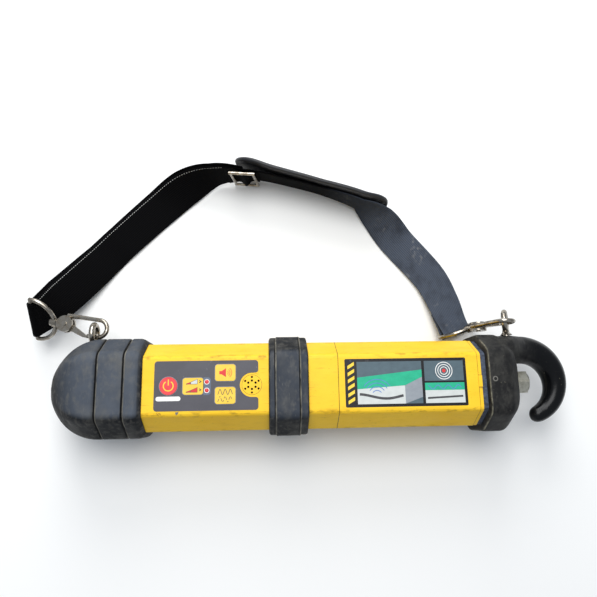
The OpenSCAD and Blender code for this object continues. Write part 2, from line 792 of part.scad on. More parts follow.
module left_d_loop() {
  color("silver") left_frame() d_loop(left_roll);
}
module left_swivel_rivet() {
  color("silver") left_frame() swivel_rivet();
}
module left_snap_body() {
  color("silver") left_frame() snap_body();
}
module left_snap_gate() {
  color("silver") left_frame() snap_gate();
}
module left_gate_pin() {
  color("silver") left_frame() gate_pin();
}
module right_d_loop() {
  color("silver") right_frame() d_loop(right_roll);
}
module right_swivel_rivet() {
  color("silver") right_frame() swivel_rivet();
}
module right_snap_body() {
  color("silver") right_frame() snap_body();
}
module right_snap_gate() {
  color("silver") right_frame() snap_gate();
}
module right_gate_pin() {
  color("silver") right_frame() gate_pin();
}

// Strap: one webbing from the right D-loop along the pad to the left D-loop and back to the adjuster
left_bar = left_nose + bar_x * left_u;
right_bar = right_nose + bar_x * right_u;
left_bar_dir = -(cos(left_roll) * left_v + sin(left_roll) * left_w);
right_bar_dir = cos(right_roll) * right_v + sin(right_roll) * right_w;
// Places along the strap: shares of the span, of the reach and of the webbing's width, then its lean
strap_shares = [
  [0, 0, 0, -45], [0.05, 0.153, 0.55, -30], [0.128, 0.41, 0.12, -8], [0.178, 0.55, 0.1, -4],
  [0.271, 0.78, 0.14, -12], [0.335, 0.9, 0.36, -40], [0.404, 0.97, 0.56, -80],
  [0.481, 0.97, 0.685, -98], [0.546, 0.935, 0.715, -101], [0.669, 0.85, 0.715, -101],
  [0.767, 0.76, 0.675, -94], [0.819, 0.68, 0.42, -50], [0.87, 0.54, 0.12, -8],
  [0.947, 0.301, 0.115, 0], [0.977, 0.135, 0.165, 7], [0.991, 0.018, 0.23, 15], [1, 0, 0, 22]
];
last = len(strap_shares) - 1;
function station(i) = i <= 0 ? left_bar : i >= last ? right_bar :
  let (s = strap_shares[i]) [left_bar[0] + s[0] * (right_bar[0] - left_bar[0]),
    left_bar[1] + s[1] * strap_reach, s[2] * web_w];
function lean(t) = let (i = min(floor(t), last - 1), a = strap_shares[i][3], b = strap_shares[i + 1][3])
  a + (t - i) * (b - a);
function spline(a, b, c, d, f) =
  b + f / 2 * (c - a + f * (2 * a - 5 * b + 4 * c - d + f * (3 * b - a - 3 * c + d)));
function place(t) = let (i = max(0, min(floor(t), last - 1)))
  spline(station(i - 1), station(i), station(i + 1), station(i + 2), t - i);
function unit(v) = v / norm(v);
t_step = 0.05;
function heading(t) = unit(place(min(t + t_step, last)) - place(max(t - t_step, 0)));
function across_at(t) =
  let (h = heading(t), n = unit([h[1], -h[0], 0]), free = cos(lean(t)) * n + sin(lean(t)) * cross(n, h))
  t < 1 ? unit((1 - t) * left_bar_dir + t * free) :
  t > last - 1 ? unit((last - t) * free + (t - last + 1) * right_bar_dir) : free;
// Frame at a place on the strap: [point, across the webbing, out of its face]
function strap_frame(t) =
  let (w = across_at(t), h0 = heading(t), h = unit(h0 - (h0 * w) * w)) [place(t), w, cross(h, w), h];
wrap_r = loop_d / 2 + clear + web_t / 2;
layer = (web_t + clear) / 2;
wrap_steps = 8;
peek = 3;
return_end = 7;
tail_end = 14.6;
function near_end(t, e) = max(0, 1 - abs(t - e));
function face_shift(t) = t <= return_end ? layer + (wrap_r - layer) * near_end(t, 0)
  : max(layer * near_end(t, return_end), wrap_r * near_end(t, last));
function web_ring(p, w, n) = [for (c = [[-1, -1], [1, -1], [1, 1], [-1, 1]])
  p + c[0] * w * web_w / 2 + c[1] * n * web_t / 2];
function shifted(t, off, side, face) =
  let (f = strap_frame(t)) web_ring(f[0] + off * f[2] + side * f[1], f[1], face * f[2]);
function wrap(e, s) = let (f = strap_frame(e)) [for (k = [1:wrap_steps - 1]) let (a = 180 * k / wrap_steps,
  out = -cos(a) * f[2] - s * sin(a) * f[3], n = cos(a) * f[2] + s * sin(a) * f[3])
  web_ring(f[0] + wrap_r * out, f[1], n)];
half_steps = 2 * last;
strap_rings = concat(
  [for (k = [return_end * 2:-1:0]) let (t = k / 2)
    shifted(t, layer + (wrap_r - layer) * near_end(t, 0), -peek * (1 - near_end(t, 0)), -1)],
  backwards(wrap(0, 1)),
  [for (k = [0:half_steps]) shifted(k / 2, -face_shift(k / 2), 0, 1)],
  wrap(last, -1),
  [for (t = [last, last - 1 / 2, last - 1, tail_end])
    shifted(t, web_t + clear + (wrap_r - web_t - clear) * near_end(t, last), 0, -1)]);
module strap_webbing() {
  color([0.12, 0.12, 0.14]) soft_loft(strap_rings);
}
// Pad: an oval cushion on the outer side of the webbing, with its left end standing away from it
pad_t0 = 6.75;
pad_t1 = 10.9;
pad_steps = 14;
pad_sides = 12;
pad_flare = 7;
pad_end_shares = [0.55, 0.86, 0.97];
pad_edge_power = 0.5;
pad_face_power = 0.7;
function squared(v, e) = sign(v) * pow(abs(v), e);
function pad_end(k) = let (e = min(k, pad_steps - k)) e < len(pad_end_shares) ? pad_end_shares[e] : 1;
function pad_ring(k) =
  let (t = pad_t0 + (pad_t1 - pad_t0) * k / pad_steps, f = strap_frame(t), s = pad_end(k),
    away = pad_flare * pow(1 - k / pad_steps, 3) + pad_flare / 2 * pow(k / pad_steps, 6),
    c = f[0] + (web_t / 2 + clear + pad_t / 2 + away) * f[2])
  [for (i = [0:pad_sides - 1]) let (a = 360 * i / pad_sides)
    c + s * squared(cos(a), pad_edge_power) * pad_w / 2 * f[1]
      + squared(sin(a), pad_face_power) * pad_t / 2 * (s + 1) / 2 * f[2]];
module shoulder_pad() {
  color([0.15, 0.16, 0.19]) loft([for (k = [0:pad_steps]) pad_ring(k)]);
}
// Adjuster: a wire frame with a middle bar on the inner face of the webbing
slide_l = 29;
slide_w = 48;
slide_d = 3.4;
slide_at = 7;
slide_lift = 2.4;
module strap_adjuster() {
  f = strap_frame(slide_at);
  p = f[0] - (layer + web_t + slide_lift + slide_d / 2) * f[2];
  m = [for (i = [0:2]) [f[3][i], f[1][i], f[2][i], p[i]]];
  color("silver") multmatrix(m) union() {
    for (s = [-1, 0, 1]) translate([s * (slide_l - slide_d) / 2, 0, 0]) rotate([90, 0, 0])
      cylinder(d = slide_d, h = slide_w - slide_d, center = true);
    for (s = [-1, 1]) translate([0, s * (slide_w - slide_d) / 2, 0]) rotate([0, 90, 0])
      cylinder(d = slide_d, h = slide_l, center = true);
  }
}

control_housing();
battery_housing();
joint_sleeve();
nose_cover();
nose_boot();
centre_bumper();
hook_cap();
cap_seal();
cap_bolt();
bolt_washer();
bulkhead();
threaded_insert();
cell_carrier();
battery_cells();
contact_plates();
keypad_overlay();
power_key();
level_key();
volume_key();
signal_key();
lamp_window();
level_lamps();
marking_strip();
speaker_grille();
loudspeaker();
control_board();
key_switches();
ferrite_rod();
antenna_coil();
rod_cradles();
diagram_label();
nose_eye();
hook_eye();
eye_nut();
strap_webbing();
shoulder_pad();
strap_adjuster();
left_d_loop();
left_swivel_rivet();
left_snap_body();
left_snap_gate();
left_gate_pin();
right_d_loop();
right_swivel_rivet();
right_snap_body();
right_snap_gate();
right_gate_pin();
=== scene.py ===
# Look of a cable locator's signal transmitter: scuffed yellow tube, rubber guards, hook cap, keypad, strap
import json
import math
import bpy
import numpy as np
from mathutils import Matrix, Vector


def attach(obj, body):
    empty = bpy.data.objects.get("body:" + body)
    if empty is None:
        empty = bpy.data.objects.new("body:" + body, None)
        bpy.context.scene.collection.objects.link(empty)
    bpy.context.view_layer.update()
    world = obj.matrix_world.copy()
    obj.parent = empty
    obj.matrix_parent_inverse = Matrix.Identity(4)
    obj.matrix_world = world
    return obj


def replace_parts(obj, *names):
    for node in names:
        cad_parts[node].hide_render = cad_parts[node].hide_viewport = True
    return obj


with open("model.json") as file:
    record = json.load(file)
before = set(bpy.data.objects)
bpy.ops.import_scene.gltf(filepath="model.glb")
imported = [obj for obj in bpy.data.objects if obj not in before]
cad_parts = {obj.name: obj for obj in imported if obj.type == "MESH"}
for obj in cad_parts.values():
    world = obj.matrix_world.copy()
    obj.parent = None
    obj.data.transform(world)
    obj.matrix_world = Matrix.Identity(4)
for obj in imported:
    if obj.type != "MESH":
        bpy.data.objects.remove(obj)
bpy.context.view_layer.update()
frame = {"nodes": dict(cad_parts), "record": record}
nodes = frame["nodes"]
joints = {j["name"]: j for j in frame["record"]["behaviour"]["joints"]}
mm = 0.001
print("frame loaded with", len(nodes), "solids")


# Helpers for colours, shader nodes and meshes
def linear(code):  # sRGB hex to linear RGBA
    v = np.array([int(code[i:i + 2], 16) for i in (1, 3, 5)]) / 255
    return (*np.where(v <= 0.04045, v / 12.92, ((v + 0.055) / 1.055) ** 2.4).tolist(), 1.0)


def addNode(tree, kind, inputs=None, out=0, **settings):  # a node with its settings and links
    node = tree.nodes.new("ShaderNode" + kind)
    for key, value in settings.items():
        setattr(node, key, value)
    for key, value in (inputs or {}).items():
        if isinstance(value, bpy.types.NodeSocket):
            tree.links.new(value, node.inputs[key])
        else:
            node.inputs[key].default_value = value
    return node.outputs[out]


def startSurface(name, sockets):  # a material with its shader's constant sockets set
    material = bpy.data.materials.new(name)
    material.use_nodes = True
    tree = material.node_tree
    for key, value in sockets.items():
        tree.nodes["Principled BSDF"].inputs[key].default_value = value
    place = addNode(tree, "TexCoord", out=3)  # Object coordinates, in metres
    return material, tree, place


def patches(place, size, low, high, stretch=(1, 1, 1), seed=0.0, least=0.0, most=1.0):
    # soft-edged patches of that size in mm: noise cut between low and high, then brought to least and most
    tree = place.id_data
    moved = addNode(tree, "Mapping", {"Vector": place, "Location": (seed, seed * 2, seed * 3),
        "Scale": tuple(1 / (size * mm * s) for s in stretch)})
    noise = addNode(tree, "TexNoise", {"Vector": moved, "Scale": 1.0, "Detail": 4.0, "Roughness": 0.6})
    return addNode(tree, "MapRange", {"Value": noise, "From Min": low, "From Max": high,
        "To Min": least, "To Max": most})


def lineMask(along, places, halfWidth, soft=0.35):  # 1 on each line across X, fading over soft mm
    tree = along.id_data
    total = 0.0
    for at in places:
        off = addNode(tree, "Math", {0: along, 1: at * mm}, operation="SUBTRACT")
        off = addNode(tree, "Math", {0: off}, operation="ABSOLUTE")
        near = addNode(tree, "MapRange", {"Value": off, "From Min": halfWidth * mm,
            "From Max": (halfWidth + soft) * mm, "To Min": 1.0, "To Max": 0.0})
        total = addNode(tree, "Math", {0: total, 1: near}, operation="MAXIMUM")
    return total


def blendColours(tree, start, layers):  # lays each colour over the last, by the product of its masks
    colour = linear(start)
    for code, share, *masks in layers:
        for mask in masks:
            share = addNode(tree, "Math", {0: share, 1: mask}, operation="MULTIPLY")
        colour = addNode(tree, "Mix", {0: share, 6: colour, 7: linear(code)}, 2, data_type="RGBA")
    return colour


def finishSurface(material, colour, rough=None, bump=None, depth=0.0, strength=0.0):
    # links what varies over the surface; the bump's depth is in mm
    tree = material.node_tree
    inputs = tree.nodes["Principled BSDF"].inputs
    tree.links.new(colour, inputs["Base Color"])
    if rough is not None:
        tree.links.new(rough, inputs["Roughness"])
    if bump is not None:
        normal = addNode(tree, "Bump", {"Height": bump, "Strength": strength, "Distance": depth * mm})
        tree.links.new(normal, inputs["Normal"])
    return material


def addObject(name, data):
    holder = bpy.data.objects.new(name, data)
    bpy.context.collection.objects.link(holder)
    return holder


def putMesh(name, points, faces, material, body="housing", smooth=True, uv=None):
    mesh = bpy.data.meshes.new(name)
    mesh.from_pydata(np.asarray(points).reshape(-1, 3).tolist(), [], faces)
    mesh.polygons.foreach_set("use_smooth", np.full(len(mesh.polygons), smooth))
    if uv is not None:  # uv is one pair per vertex
        corner = np.empty(len(mesh.loops), dtype=np.int64)
        mesh.loops.foreach_get("vertex_index", corner)
        mesh.uv_layers.new(name="UVMap").data.foreach_set("uv", np.asarray(uv)[corner].ravel())
    mesh.materials.append(material)
    mesh.update()
    piece = addObject(name, mesh)
    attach(piece, body)
    return piece


def ringFaces(rows, cols, joined=False, first=0):
    # quads between neighbouring rings of points; the last ring is joined to the first, or both get a lid
    r = np.arange(rows if joined else rows - 1)[:, None]
    c = np.arange(cols)
    r1, c1 = (r + 1) % rows, (c + 1) % cols
    quads = np.stack([r * cols + c, r * cols + c1, r1 * cols + c1, r1 * cols + c], axis=-1)
    lids = [] if joined else [c[::-1], c + (rows - 1) * cols]
    return (quads.reshape(-1, 4) + first).tolist() + [(lid + first).tolist() for lid in lids]


def unit(v):
    return v / np.linalg.norm(v, axis=-1, keepdims=True)


def lengthAlong(line):  # distance from the first point to each point of a line
    return np.concatenate([[0], np.cumsum(np.linalg.norm(np.diff(line, axis=0), axis=1))])


# Camera, fitted to the photograph's view of the tube: place, clip and sensor in mm, focal length in pixels
cameraFit = {"place": (-18.9, -26.7, 627.5), "yaw": -3.18, "tilt": 11.63, "roll": -1.11, "focal": 553.1,
    "picture": 597, "sensor": 36, "clip": 10}


def setCamera(fit):
    camera = addObject("camera", bpy.data.cameras.new("camera"))
    camera.data.sensor_width = fit["sensor"]
    camera.data.lens = fit["sensor"] * fit["focal"] / fit["picture"]
    camera.data.clip_start = fit["clip"] * mm
    pose = Matrix.Translation(Vector(fit["place"]) * mm)
    for name, axis in (("yaw", "Y"), ("tilt", "X"), ("roll", "Z")):
        pose = pose @ Matrix.Rotation(math.radians(fit[name]), 4, axis)
    camera.matrix_world = pose
    bpy.context.scene.camera = camera


setCamera(cameraFit)
bpy.context.scene.view_settings.view_transform = "Standard"

# Stage in metres: a plain pale floor under soft light from above and from the strap's side
light = {"world": "#DDE4EE", "worldStrength": 0.55, "floor": "#F2F2F0", "bounce": "#A0A09E", "floorSide": 4.0,
    "aim": (0, 0.03, 0.05), "lamps": [("skyLamp", (-0.1, 0.42, 1.3), 1.0, 13.5),
    ("sideLamp", (-0.1, 1.15, 0.8), 0.8, 10)]}


def addLamp(name, place, size, power):  # a round area lamp that faces the tube's middle
    lamp = bpy.data.lights.new(name, "AREA")
    lamp.shape, lamp.size, lamp.energy = "DISK", size, power
    facing = (Vector(light["aim"]) - Vector(place)).to_track_quat("-Z", "Y").to_matrix().to_4x4()
    addObject(name, lamp).matrix_world = Matrix.Translation(place) @ facing


def setStage():
    world = bpy.data.worlds.new("studio")
    bpy.context.scene.world = world
    world.use_nodes = True
    back = world.node_tree.nodes["Background"]
    back.inputs["Color"].default_value = linear(light["world"])
    back.inputs["Strength"].default_value = light["worldStrength"]
    for lamp in light["lamps"]:
        addLamp(*lamp)
    material, tree, place = startSurface("palePaper", {"Roughness": 0.9, "Specular IOR Level": 0.1})
    # the eye, metal and glass see the pale floor; what it throws back on the object is a mid grey
    rays = [addNode(tree, "LightPath", out="Is " + kind + " Ray")
        for kind in ("Camera", "Glossy", "Transmission")]
    finishSurface(material, blendColours(tree, light["bounce"], [(light["floor"], ray) for ray in rays]))
    mesh = bpy.data.meshes.new("floor")
    corners = np.array([(-1, -1, 0), (1, -1, 0), (1, 1, 0), (-1, 1, 0)]) * light["floorSide"]
    mesh.from_pydata(corners.tolist(), [], [(0, 1, 2, 3)])
    mesh.materials.append(material)
    floor = addObject("floor", mesh)


setStage()
print("camera and stage set")


# Tube sizes in mm, as the solids have them
tube = {"width": 86, "flat": 55, "facetDrop": 25.5, "edge": 5, "axisZ": 49, "front": 92, "noseEnd": -184,
    "seam": 48, "openEnd": 189, "proud": 6}

# Moulded ABS: strong warm yellow, half gloss, with fine dark scuffs that gather on the long edges
absLook = {"colour": "#F6C936", "deep": "#EFBD28", "scuff": "#6B4A22", "grime": "#B98A22", "edgeReach": 5}


def edgeMask(place, reach):  # 1 on the tube's long edges, falling to 0 at reach mm from them
    tree = place.id_data
    folded = addNode(tree, "VectorMath", {0: place, 1: (0, 0, tube["axisZ"] * mm)}, operation="SUBTRACT")
    folded = addNode(tree, "VectorMath", {0: folded}, operation="ABSOLUTE")
    half = tube["width"] / 2
    total = 0.0
    for y, z in ((tube["flat"] / 2, half), (half, half - tube["facetDrop"])):
        off = addNode(tree, "VectorMath", {0: folded, 1: (0, y * mm, z * mm)}, operation="SUBTRACT")
        off = addNode(tree, "VectorMath", {0: off, 1: (0, 1, 1)}, operation="MULTIPLY")
        far = addNode(tree, "VectorMath", {0: off}, "Value", operation="LENGTH")
        near = addNode(tree, "MapRange", {"Value": far, "From Min": 0.0, "From Max": reach * mm,
            "To Min": 1.0, "To Max": 0.0})
        total = addNode(tree, "Math", {0: total, 1: near}, operation="MAXIMUM")
    return total


def mouldedAbs():
    material, tree, place = startSurface("mouldedAbs", {"Roughness": 0.42, "IOR": 1.5,
        "Specular IOR Level": 0.16})
    edge = edgeMask(place, absLook["edgeReach"])
    colour = blendColours(tree, absLook["colour"], [
        (absLook["deep"], patches(place, 45, 0.35, 0.75, (2, 1, 1))),
        (absLook["grime"], patches(place, 9, 0.5, 0.8, (3, 1, 1), 6.0, most=0.22)),
        (absLook["scuff"], patches(place, 2.2, 0.63, 0.70, (7, 0.35, 0.35), 1.3, most=0.35)),
        (absLook["scuff"], patches(place, 1.5, 0.66, 0.72, (1.6, 1, 1), 4.1, most=0.55)),
        (absLook["scuff"], edge, patches(place, 4, 0.52, 0.66, (2.5, 1, 1), 2.2, most=0.6))])
    rough = patches(place, 12, 0.3, 0.8, (3, 1, 1), 3.0, 0.34, 0.56)
    return finishSurface(material, colour, rough, patches(place, 0.9, 0.2, 0.8, seed=5.0), 0.03, 0.25)


# Moulded rubber: dark blue-grey, dull and dusty, with a painted sheen of the sky mixed with settled dust on
# the faces that look up, pale dirt along the grooves and painted shade in them. Each guard has its colour of
# painted sheen and dust, the way that it faces, and its dirt lines and groove shade as places along X in mm
rubberLook = {"colour": "#1F2124", "shade": "#18191B", "dust": "#6A6862", "dirt": "#827E72",
    # gap is a painted shade colour, laid as a near-black line in each groove
    "scratch": "#7C7B74", "gap": "#08090A",
    "boot": {"dustAndSheen": "#4D535C", "upward": (0, 0.42, 0.9), "lines": (-179.8, -154.8),
        "grooves": (-181.1, -156.1)},
    "bumper": {"dustAndSheen": "#3B4048", "upward": (0, 0, 1), "lines": (-12.2, 11.4), "grooves": (-13.2, 10.4)}}


def dustyRubber(name, dustAndSheen, upward, lines, grooves):
    material, tree, place = startSurface(name, {"Roughness": 0.5, "IOR": 1.5, "Specular IOR Level": 0.1})
    along = addNode(tree, "SeparateXYZ", {0: place}, 0)
    facing = addNode(tree, "VectorMath", {0: addNode(tree, "NewGeometry", out="Normal"),
        1: upward}, "Value", operation="DOT_PRODUCT")
    facing = addNode(tree, "MapRange", {"Value": facing, "From Min": 0.55, "From Max": 0.88})
    broken = patches(place, 6, 0.32, 0.66, (0.5, 2, 2), 2.0)
    colour = blendColours(tree, rubberLook["colour"], [
        (rubberLook["shade"], patches(place, 30, 0.35, 0.7, seed=1.1)),
        # painted sheen of the sky mixed with settled dust, laid on the faces that look up
        (dustAndSheen, facing, patches(place, 20, 0.3, 0.7, seed=4.6, least=0.75)),
        (rubberLook["dust"], patches(place, 26, 0.5, 0.8, (1, 1.4, 1), 3.4, most=0.5)),
        (rubberLook["dust"], patches(place, 5, 0.5, 0.75, (1, 1.6, 1), 7.3, most=0.42)),
        (rubberLook["scratch"], patches(place, 2.4, 0.66, 0.72, (0.4, 5, 2), 1.7, most=0.4)),
        # painted shade: a near-black line down each groove
        (rubberLook["gap"], lineMask(along, grooves, 0.5)),
        (rubberLook["dirt"], lineMask(along, lines, 0.45), broken)])
    rough = patches(place, 18, 0.3, 0.75, seed=5.1, least=0.42, most=0.68)
    return finishSurface(material, colour, rough, patches(place, 1.1, 0.2, 0.8), 0.06, 0.4)


# Moulded nylon: charcoal and chalky on the cap, worn smooth and black along the hook; places along X in mm
nylonLook = {"cap": "#131314", "capLight": "#3F3E3A", "hook": "#08090B", "chip": "#85816F",
    "from": 243, "to": 262, "rimAt": 195.2}


def wornNylon():
    material, tree, place = startSurface("wornNylon", {"Roughness": 0.5, "IOR": 1.53,
        "Specular IOR Level": 0.2})
    along = addNode(tree, "SeparateXYZ", {0: place}, 0)
    onHook = addNode(tree, "MapRange", {"Value": along, "From Min": nylonLook["from"] * mm,
        "From Max": nylonLook["to"] * mm}, interpolation_type="SMOOTHSTEP")
    rim = lineMask(along, [nylonLook["rimAt"]], 0.3, 0.4)
    colour = blendColours(tree, nylonLook["cap"], [
        (nylonLook["capLight"], patches(place, 14, 0.4, 0.8, seed=1.9, most=0.75)),
        (nylonLook["capLight"], patches(place, 3.5, 0.5, 0.72, (1, 1.5, 1), 6.6, most=0.5)),
        (nylonLook["hook"], onHook),
        (nylonLook["chip"], patches(place, 1.6, 0.68, 0.73, (1, 2, 1), 2.7, most=0.5)),
        (nylonLook["chip"], rim, patches(place, 5, 0.35, 0.6, (1, 2, 2), 4.4))])
    rough = addNode(tree, "MapRange", {"Value": onHook, "To Min": 0.6, "To Max": 0.24})
    return finishSurface(material, colour, rough, patches(place, 1.4, 0.2, 0.8, seed=3.3), 0.08, 0.4)


# A plated or bare metal with clouded polish: the second colour shows where the plating has dulled
def platedMetal(name, bright, dull, roughLow, roughHigh):
    material, tree, place = startSurface(name, {"Metallic": 1.0})
    worn = patches(place, 5, 0.42, 0.72, seed=0.7)
    rough = addNode(tree, "MapRange", {"Value": worn, "To Min": roughLow, "To Max": roughHigh})
    return finishSurface(material, blendColours(tree, bright, [(dull, worn)]), rough,
        patches(place, 0.8, 0.2, 0.8), 0.03, 0.3)


# Screen-printed film, moulded key rubber, foam and inner plastics: one colour clouded by a second in grains
# of that many mm, with pale specks in loose clusters where wear is above 0
def cloudedPlastic(name, colour, cloud, rough, grain=8, wear=0.0, wearColour="#8E8D92"):
    material, tree, place = startSurface(name, {"Roughness": rough, "IOR": 1.5, "Specular IOR Level": 0.3})
    layers = [(cloud, patches(place, grain, 0.35, 0.75, (1.5, 1, 1), 0.9))]
    if wear:
        layers.append((wearColour, patches(place, 10, 0.6, 0.74, seed=7.7, most=wear),
            patches(place, 1.3, 0.56, 0.66, (1, 1.7, 1), 2.9)))
    return finishSurface(material, blendColours(tree, colour, layers), None,
        patches(place, 0.7, 0.2, 0.8, seed=6.2), 0.03, 0.3)


yellowAbs = mouldedAbs()
bootRubber = dustyRubber("bootRubber", **rubberLook["boot"])
bumperRubber = dustyRubber("bumperRubber", **rubberLook["bumper"])
capNylon = wornNylon()
nickelPlate = platedMetal("nickelPlate", "#ABA59A", "#6E6456", 0.18, 0.4)  # snaps and eyes: warm grey shine
zincSteel = platedMetal("zincSteel", "#CFCBBB", "#A39E8C", 0.3, 0.5)  # bolt and washer: pale, half dull
blackSteel = platedMetal("blackenedSteel", "#1B1B1C", "#101011", 0.5, 0.7)  # loudspeaker: dark and dull
brassTurned = platedMetal("turnedBrass", "#C9A454", "#A17D38", 0.25, 0.4)  # tool-smooth, yellow
copperWire = platedMetal("enamelledCopper", "#B4663A", "#8C4A26", 0.3, 0.45)  # varnished, red-brown
overlayFilm = cloudedPlastic("polyesterFilm", "#4E4D53", "#46454B", 0.45, 14, 0.9, "#A9A8AC")  # half matt
keyYellow = cloudedPlastic("yellowSilicone", "#EFC64A", "#E6BB3C", 0.5, 6)  # moulded keys with a soft sheen
keyRed = cloudedPlastic("redSilicone", "#E2474B", "#D43A40", 0.48, 6)
windowFilm = cloudedPlastic("greyBlueFilm", "#7C8798", "#737E90", 0.4, 6)  # smooth window over the lamps
lampRed = cloudedPlastic("redLens", "#D8262B", "#C01E24", 0.22, 2)  # small and glossy
whiteFilm = cloudedPlastic("whiteFilm", "#F1EFEA", "#E6E3DC", 0.5, 4)  # matt, for writing on
sealFoam = cloudedPlastic("sealRubber", "#4C5566", "#1C1F25", 0.6, 2.4)  # blue-grey, dull and mottled
labelFilm = cloudedPlastic("blackLabelFilm", "#0D0D10", "#16161A", 0.4, 10, 0.8)  # half gloss under its print
innerBlack = cloudedPlastic("blackNylon", "#1B1B1D", "#28282B", 0.55)  # inner mouldings: plain and dull
cellSleeve = cloudedPlastic("printedSleeve", "#2F6B54", "#28594A", 0.35)
boardGreen = cloudedPlastic("glassLaminate", "#1D5A34", "#17472A", 0.4)
ferriteGrey = cloudedPlastic("sinteredFerrite", "#3B3B3D", "#2C2C2E", 0.5)

finishes = {
    "control_housing": yellowAbs, "battery_housing": yellowAbs, "speaker_grille": yellowAbs,
    "joint_sleeve": innerBlack, "nose_cover": innerBlack, "bulkhead": innerBlack, "cell_carrier": innerBlack,
    "rod_cradles": innerBlack, "key_switches": innerBlack, "nose_boot": bootRubber,
    "centre_bumper": bumperRubber, "hook_cap": capNylon, "cap_seal": sealFoam, "cap_bolt": zincSteel,
    "bolt_washer": zincSteel, "loudspeaker": blackSteel, "threaded_insert": brassTurned,
    "contact_plates": brassTurned, "battery_cells": cellSleeve, "control_board": boardGreen,
    "ferrite_rod": ferriteGrey, "antenna_coil": copperWire,
    "keypad_overlay": overlayFilm, "power_key": keyRed, "level_key": keyYellow, "volume_key": keyYellow,
    "signal_key": keyYellow, "lamp_window": windowFilm, "level_lamps": lampRed, "marking_strip": whiteFilm,
    "diagram_label": labelFilm}
for name, solid in nodes.items():  # what is left is plated wire: eyes, snaps, loops and the adjuster
    solid.data.materials.clear()
    solid.data.materials.append(finishes.get(name, nickelPlate))
print("finishes given to", len(nodes), "solids")


# Rubber guards and cap as smooth skins round the tube's rounded octagon
def tubeSection(grow, cornerSteps=7, leastEdge=0.6):
    # octagon grown by each value of grow: eight corner arcs, with three points on each flat between them
    half, flat = tube["width"] / 2, tube["flat"] / 2
    side = half - tube["facetDrop"]
    tilt = math.degrees(math.atan2(half - flat, tube["facetDrop"]))
    corner = np.array([(half, side), (flat, half), (-flat, half), (-half, side)])
    corner = np.concatenate([corner, -corner])
    starts = np.array([0, tilt, 90, 180 - tilt])
    stops = np.array([tilt, 90, 180 - tilt, 180])
    starts, stops = (np.radians(np.concatenate([a, a + 180])) for a in (starts, stops))
    n0, n1 = (np.stack([np.cos(a), np.sin(a)], axis=-1) for a in (starts, stops))
    mitre = (n0 + n1) / (1 + (n0 * n1).sum(axis=-1, keepdims=True))
    grow = np.asarray(grow, dtype=float)[:, None, None, None]
    radius = np.maximum(tube["edge"] + grow, leastEdge)
    angle = starts[:, None] + (stops - starts)[:, None] * np.linspace(0, 1, cornerSteps + 1)
    arc = np.stack([np.cos(angle), np.sin(angle)], axis=-1)
    arcs = corner[:, None, :] + (grow - radius) * mitre[:, None, :] + radius * arc
    share = np.array([0.05, 0.5, 0.95])[:, None]
    flats = arcs[:, :, -1:] * (1 - share) + np.roll(arcs, -1, axis=1)[:, :, :1] * share
    return np.concatenate([arcs, flats], axis=2).reshape(len(radius), -1, 2)


def skinPoints(rows, rounding=False):  # rows of (x, grow, scale), in mm, to rings of points in metres
    x, grow, scale = np.asarray(rows, dtype=float).T
    flat = tubeSection(grow)
    if rounding:  # the smaller a ring is, the nearer its outline comes to a circle
        circle = (tube["width"] / 2 + grow)[:, None, None] / np.linalg.norm(flat, axis=2, keepdims=True)
        share = (1 - np.minimum(scale, 1) ** 2)[:, None, None]
        flat = flat * (1 - share + share * circle)
    flat = flat * scale[:, None, None]
    x = np.broadcast_to(x[:, None], flat.shape[:2])
    return np.stack([x, flat[..., 0], tube["axisZ"] + flat[..., 1]], axis=-1) * mm


def bevelled(profile, size, scaleReach=20, most=0.3):
    # rows with each corner cut back, so that moulded edges catch light; scale 1 counts as scaleReach mm
    p = np.asarray(profile, dtype=float)
    step = np.diff(p, axis=0)
    length = np.linalg.norm(step * [1, 1, scaleReach], axis=1, keepdims=True)
    cut = np.minimum(size / np.maximum(length, 1e-6), most)
    inner = np.stack([p[:-1] + step * cut, p[1:] - step * cut], axis=1).reshape(-1, 3)
    inner[0], inner[-1] = p[0], p[-1]
    return inner


def dome(end, length, grow, steps=30, pole=88.5):  # quarter ellipse of rows, from near its pole to the barrel
    a = np.radians(np.linspace(pole, 0, steps))
    return np.stack([end - length * np.sin(a), np.full(steps, grow), np.cos(a)], axis=1)


boot = {"nose": 52, "length": 45, "wall": 5, "groove": 1.4, "steepShare": 0.3, "grooveAt": (2, 27),
    "lip": 3.4, "lipDrop": 4.8, "slack": 0.12, "edge": 0.4}


def noseBoot():  # dome, grooved barrel and lip on the outside, then back along the inner wall
    end, proud, g = tube["noseEnd"], tube["proud"], boot["groove"]
    barrel = []
    for at in boot["grooveAt"]:
        start = end + at
        barrel += [(start, proud, 1), (start + g * boot["steepShare"], proud - g, 1),
            (start + g, proud - g, 1), (start + 2 * g, proud, 1)]
    rim = end + boot["length"]
    barrel += [(rim - 2 * boot["lip"], proud, 1), (rim - boot["lip"], proud - boot["lipDrop"] / 4, 1),
        (rim, proud - boot["lipDrop"], 1), (rim, boot["slack"], 1), (end, boot["slack"], 1)]
    inner = dome(end, boot["nose"] - boot["wall"], boot["slack"])[::-1]
    rows = np.concatenate([dome(end, boot["nose"], proud)[:-1], bevelled(barrel, boot["edge"]), inner[1:]])
    points = skinPoints(rows, rounding=True)
    piece = putMesh("noseBootSkin", points, ringFaces(*points.shape[:2]), bootRubber)
    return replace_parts(piece, "nose_boot")


bumper = {"width": 38.4, "land": 12, "step": 0.8, "bevel": 2.4, "drop": 3.84, "bead": 0.35, "edge": 0.5}


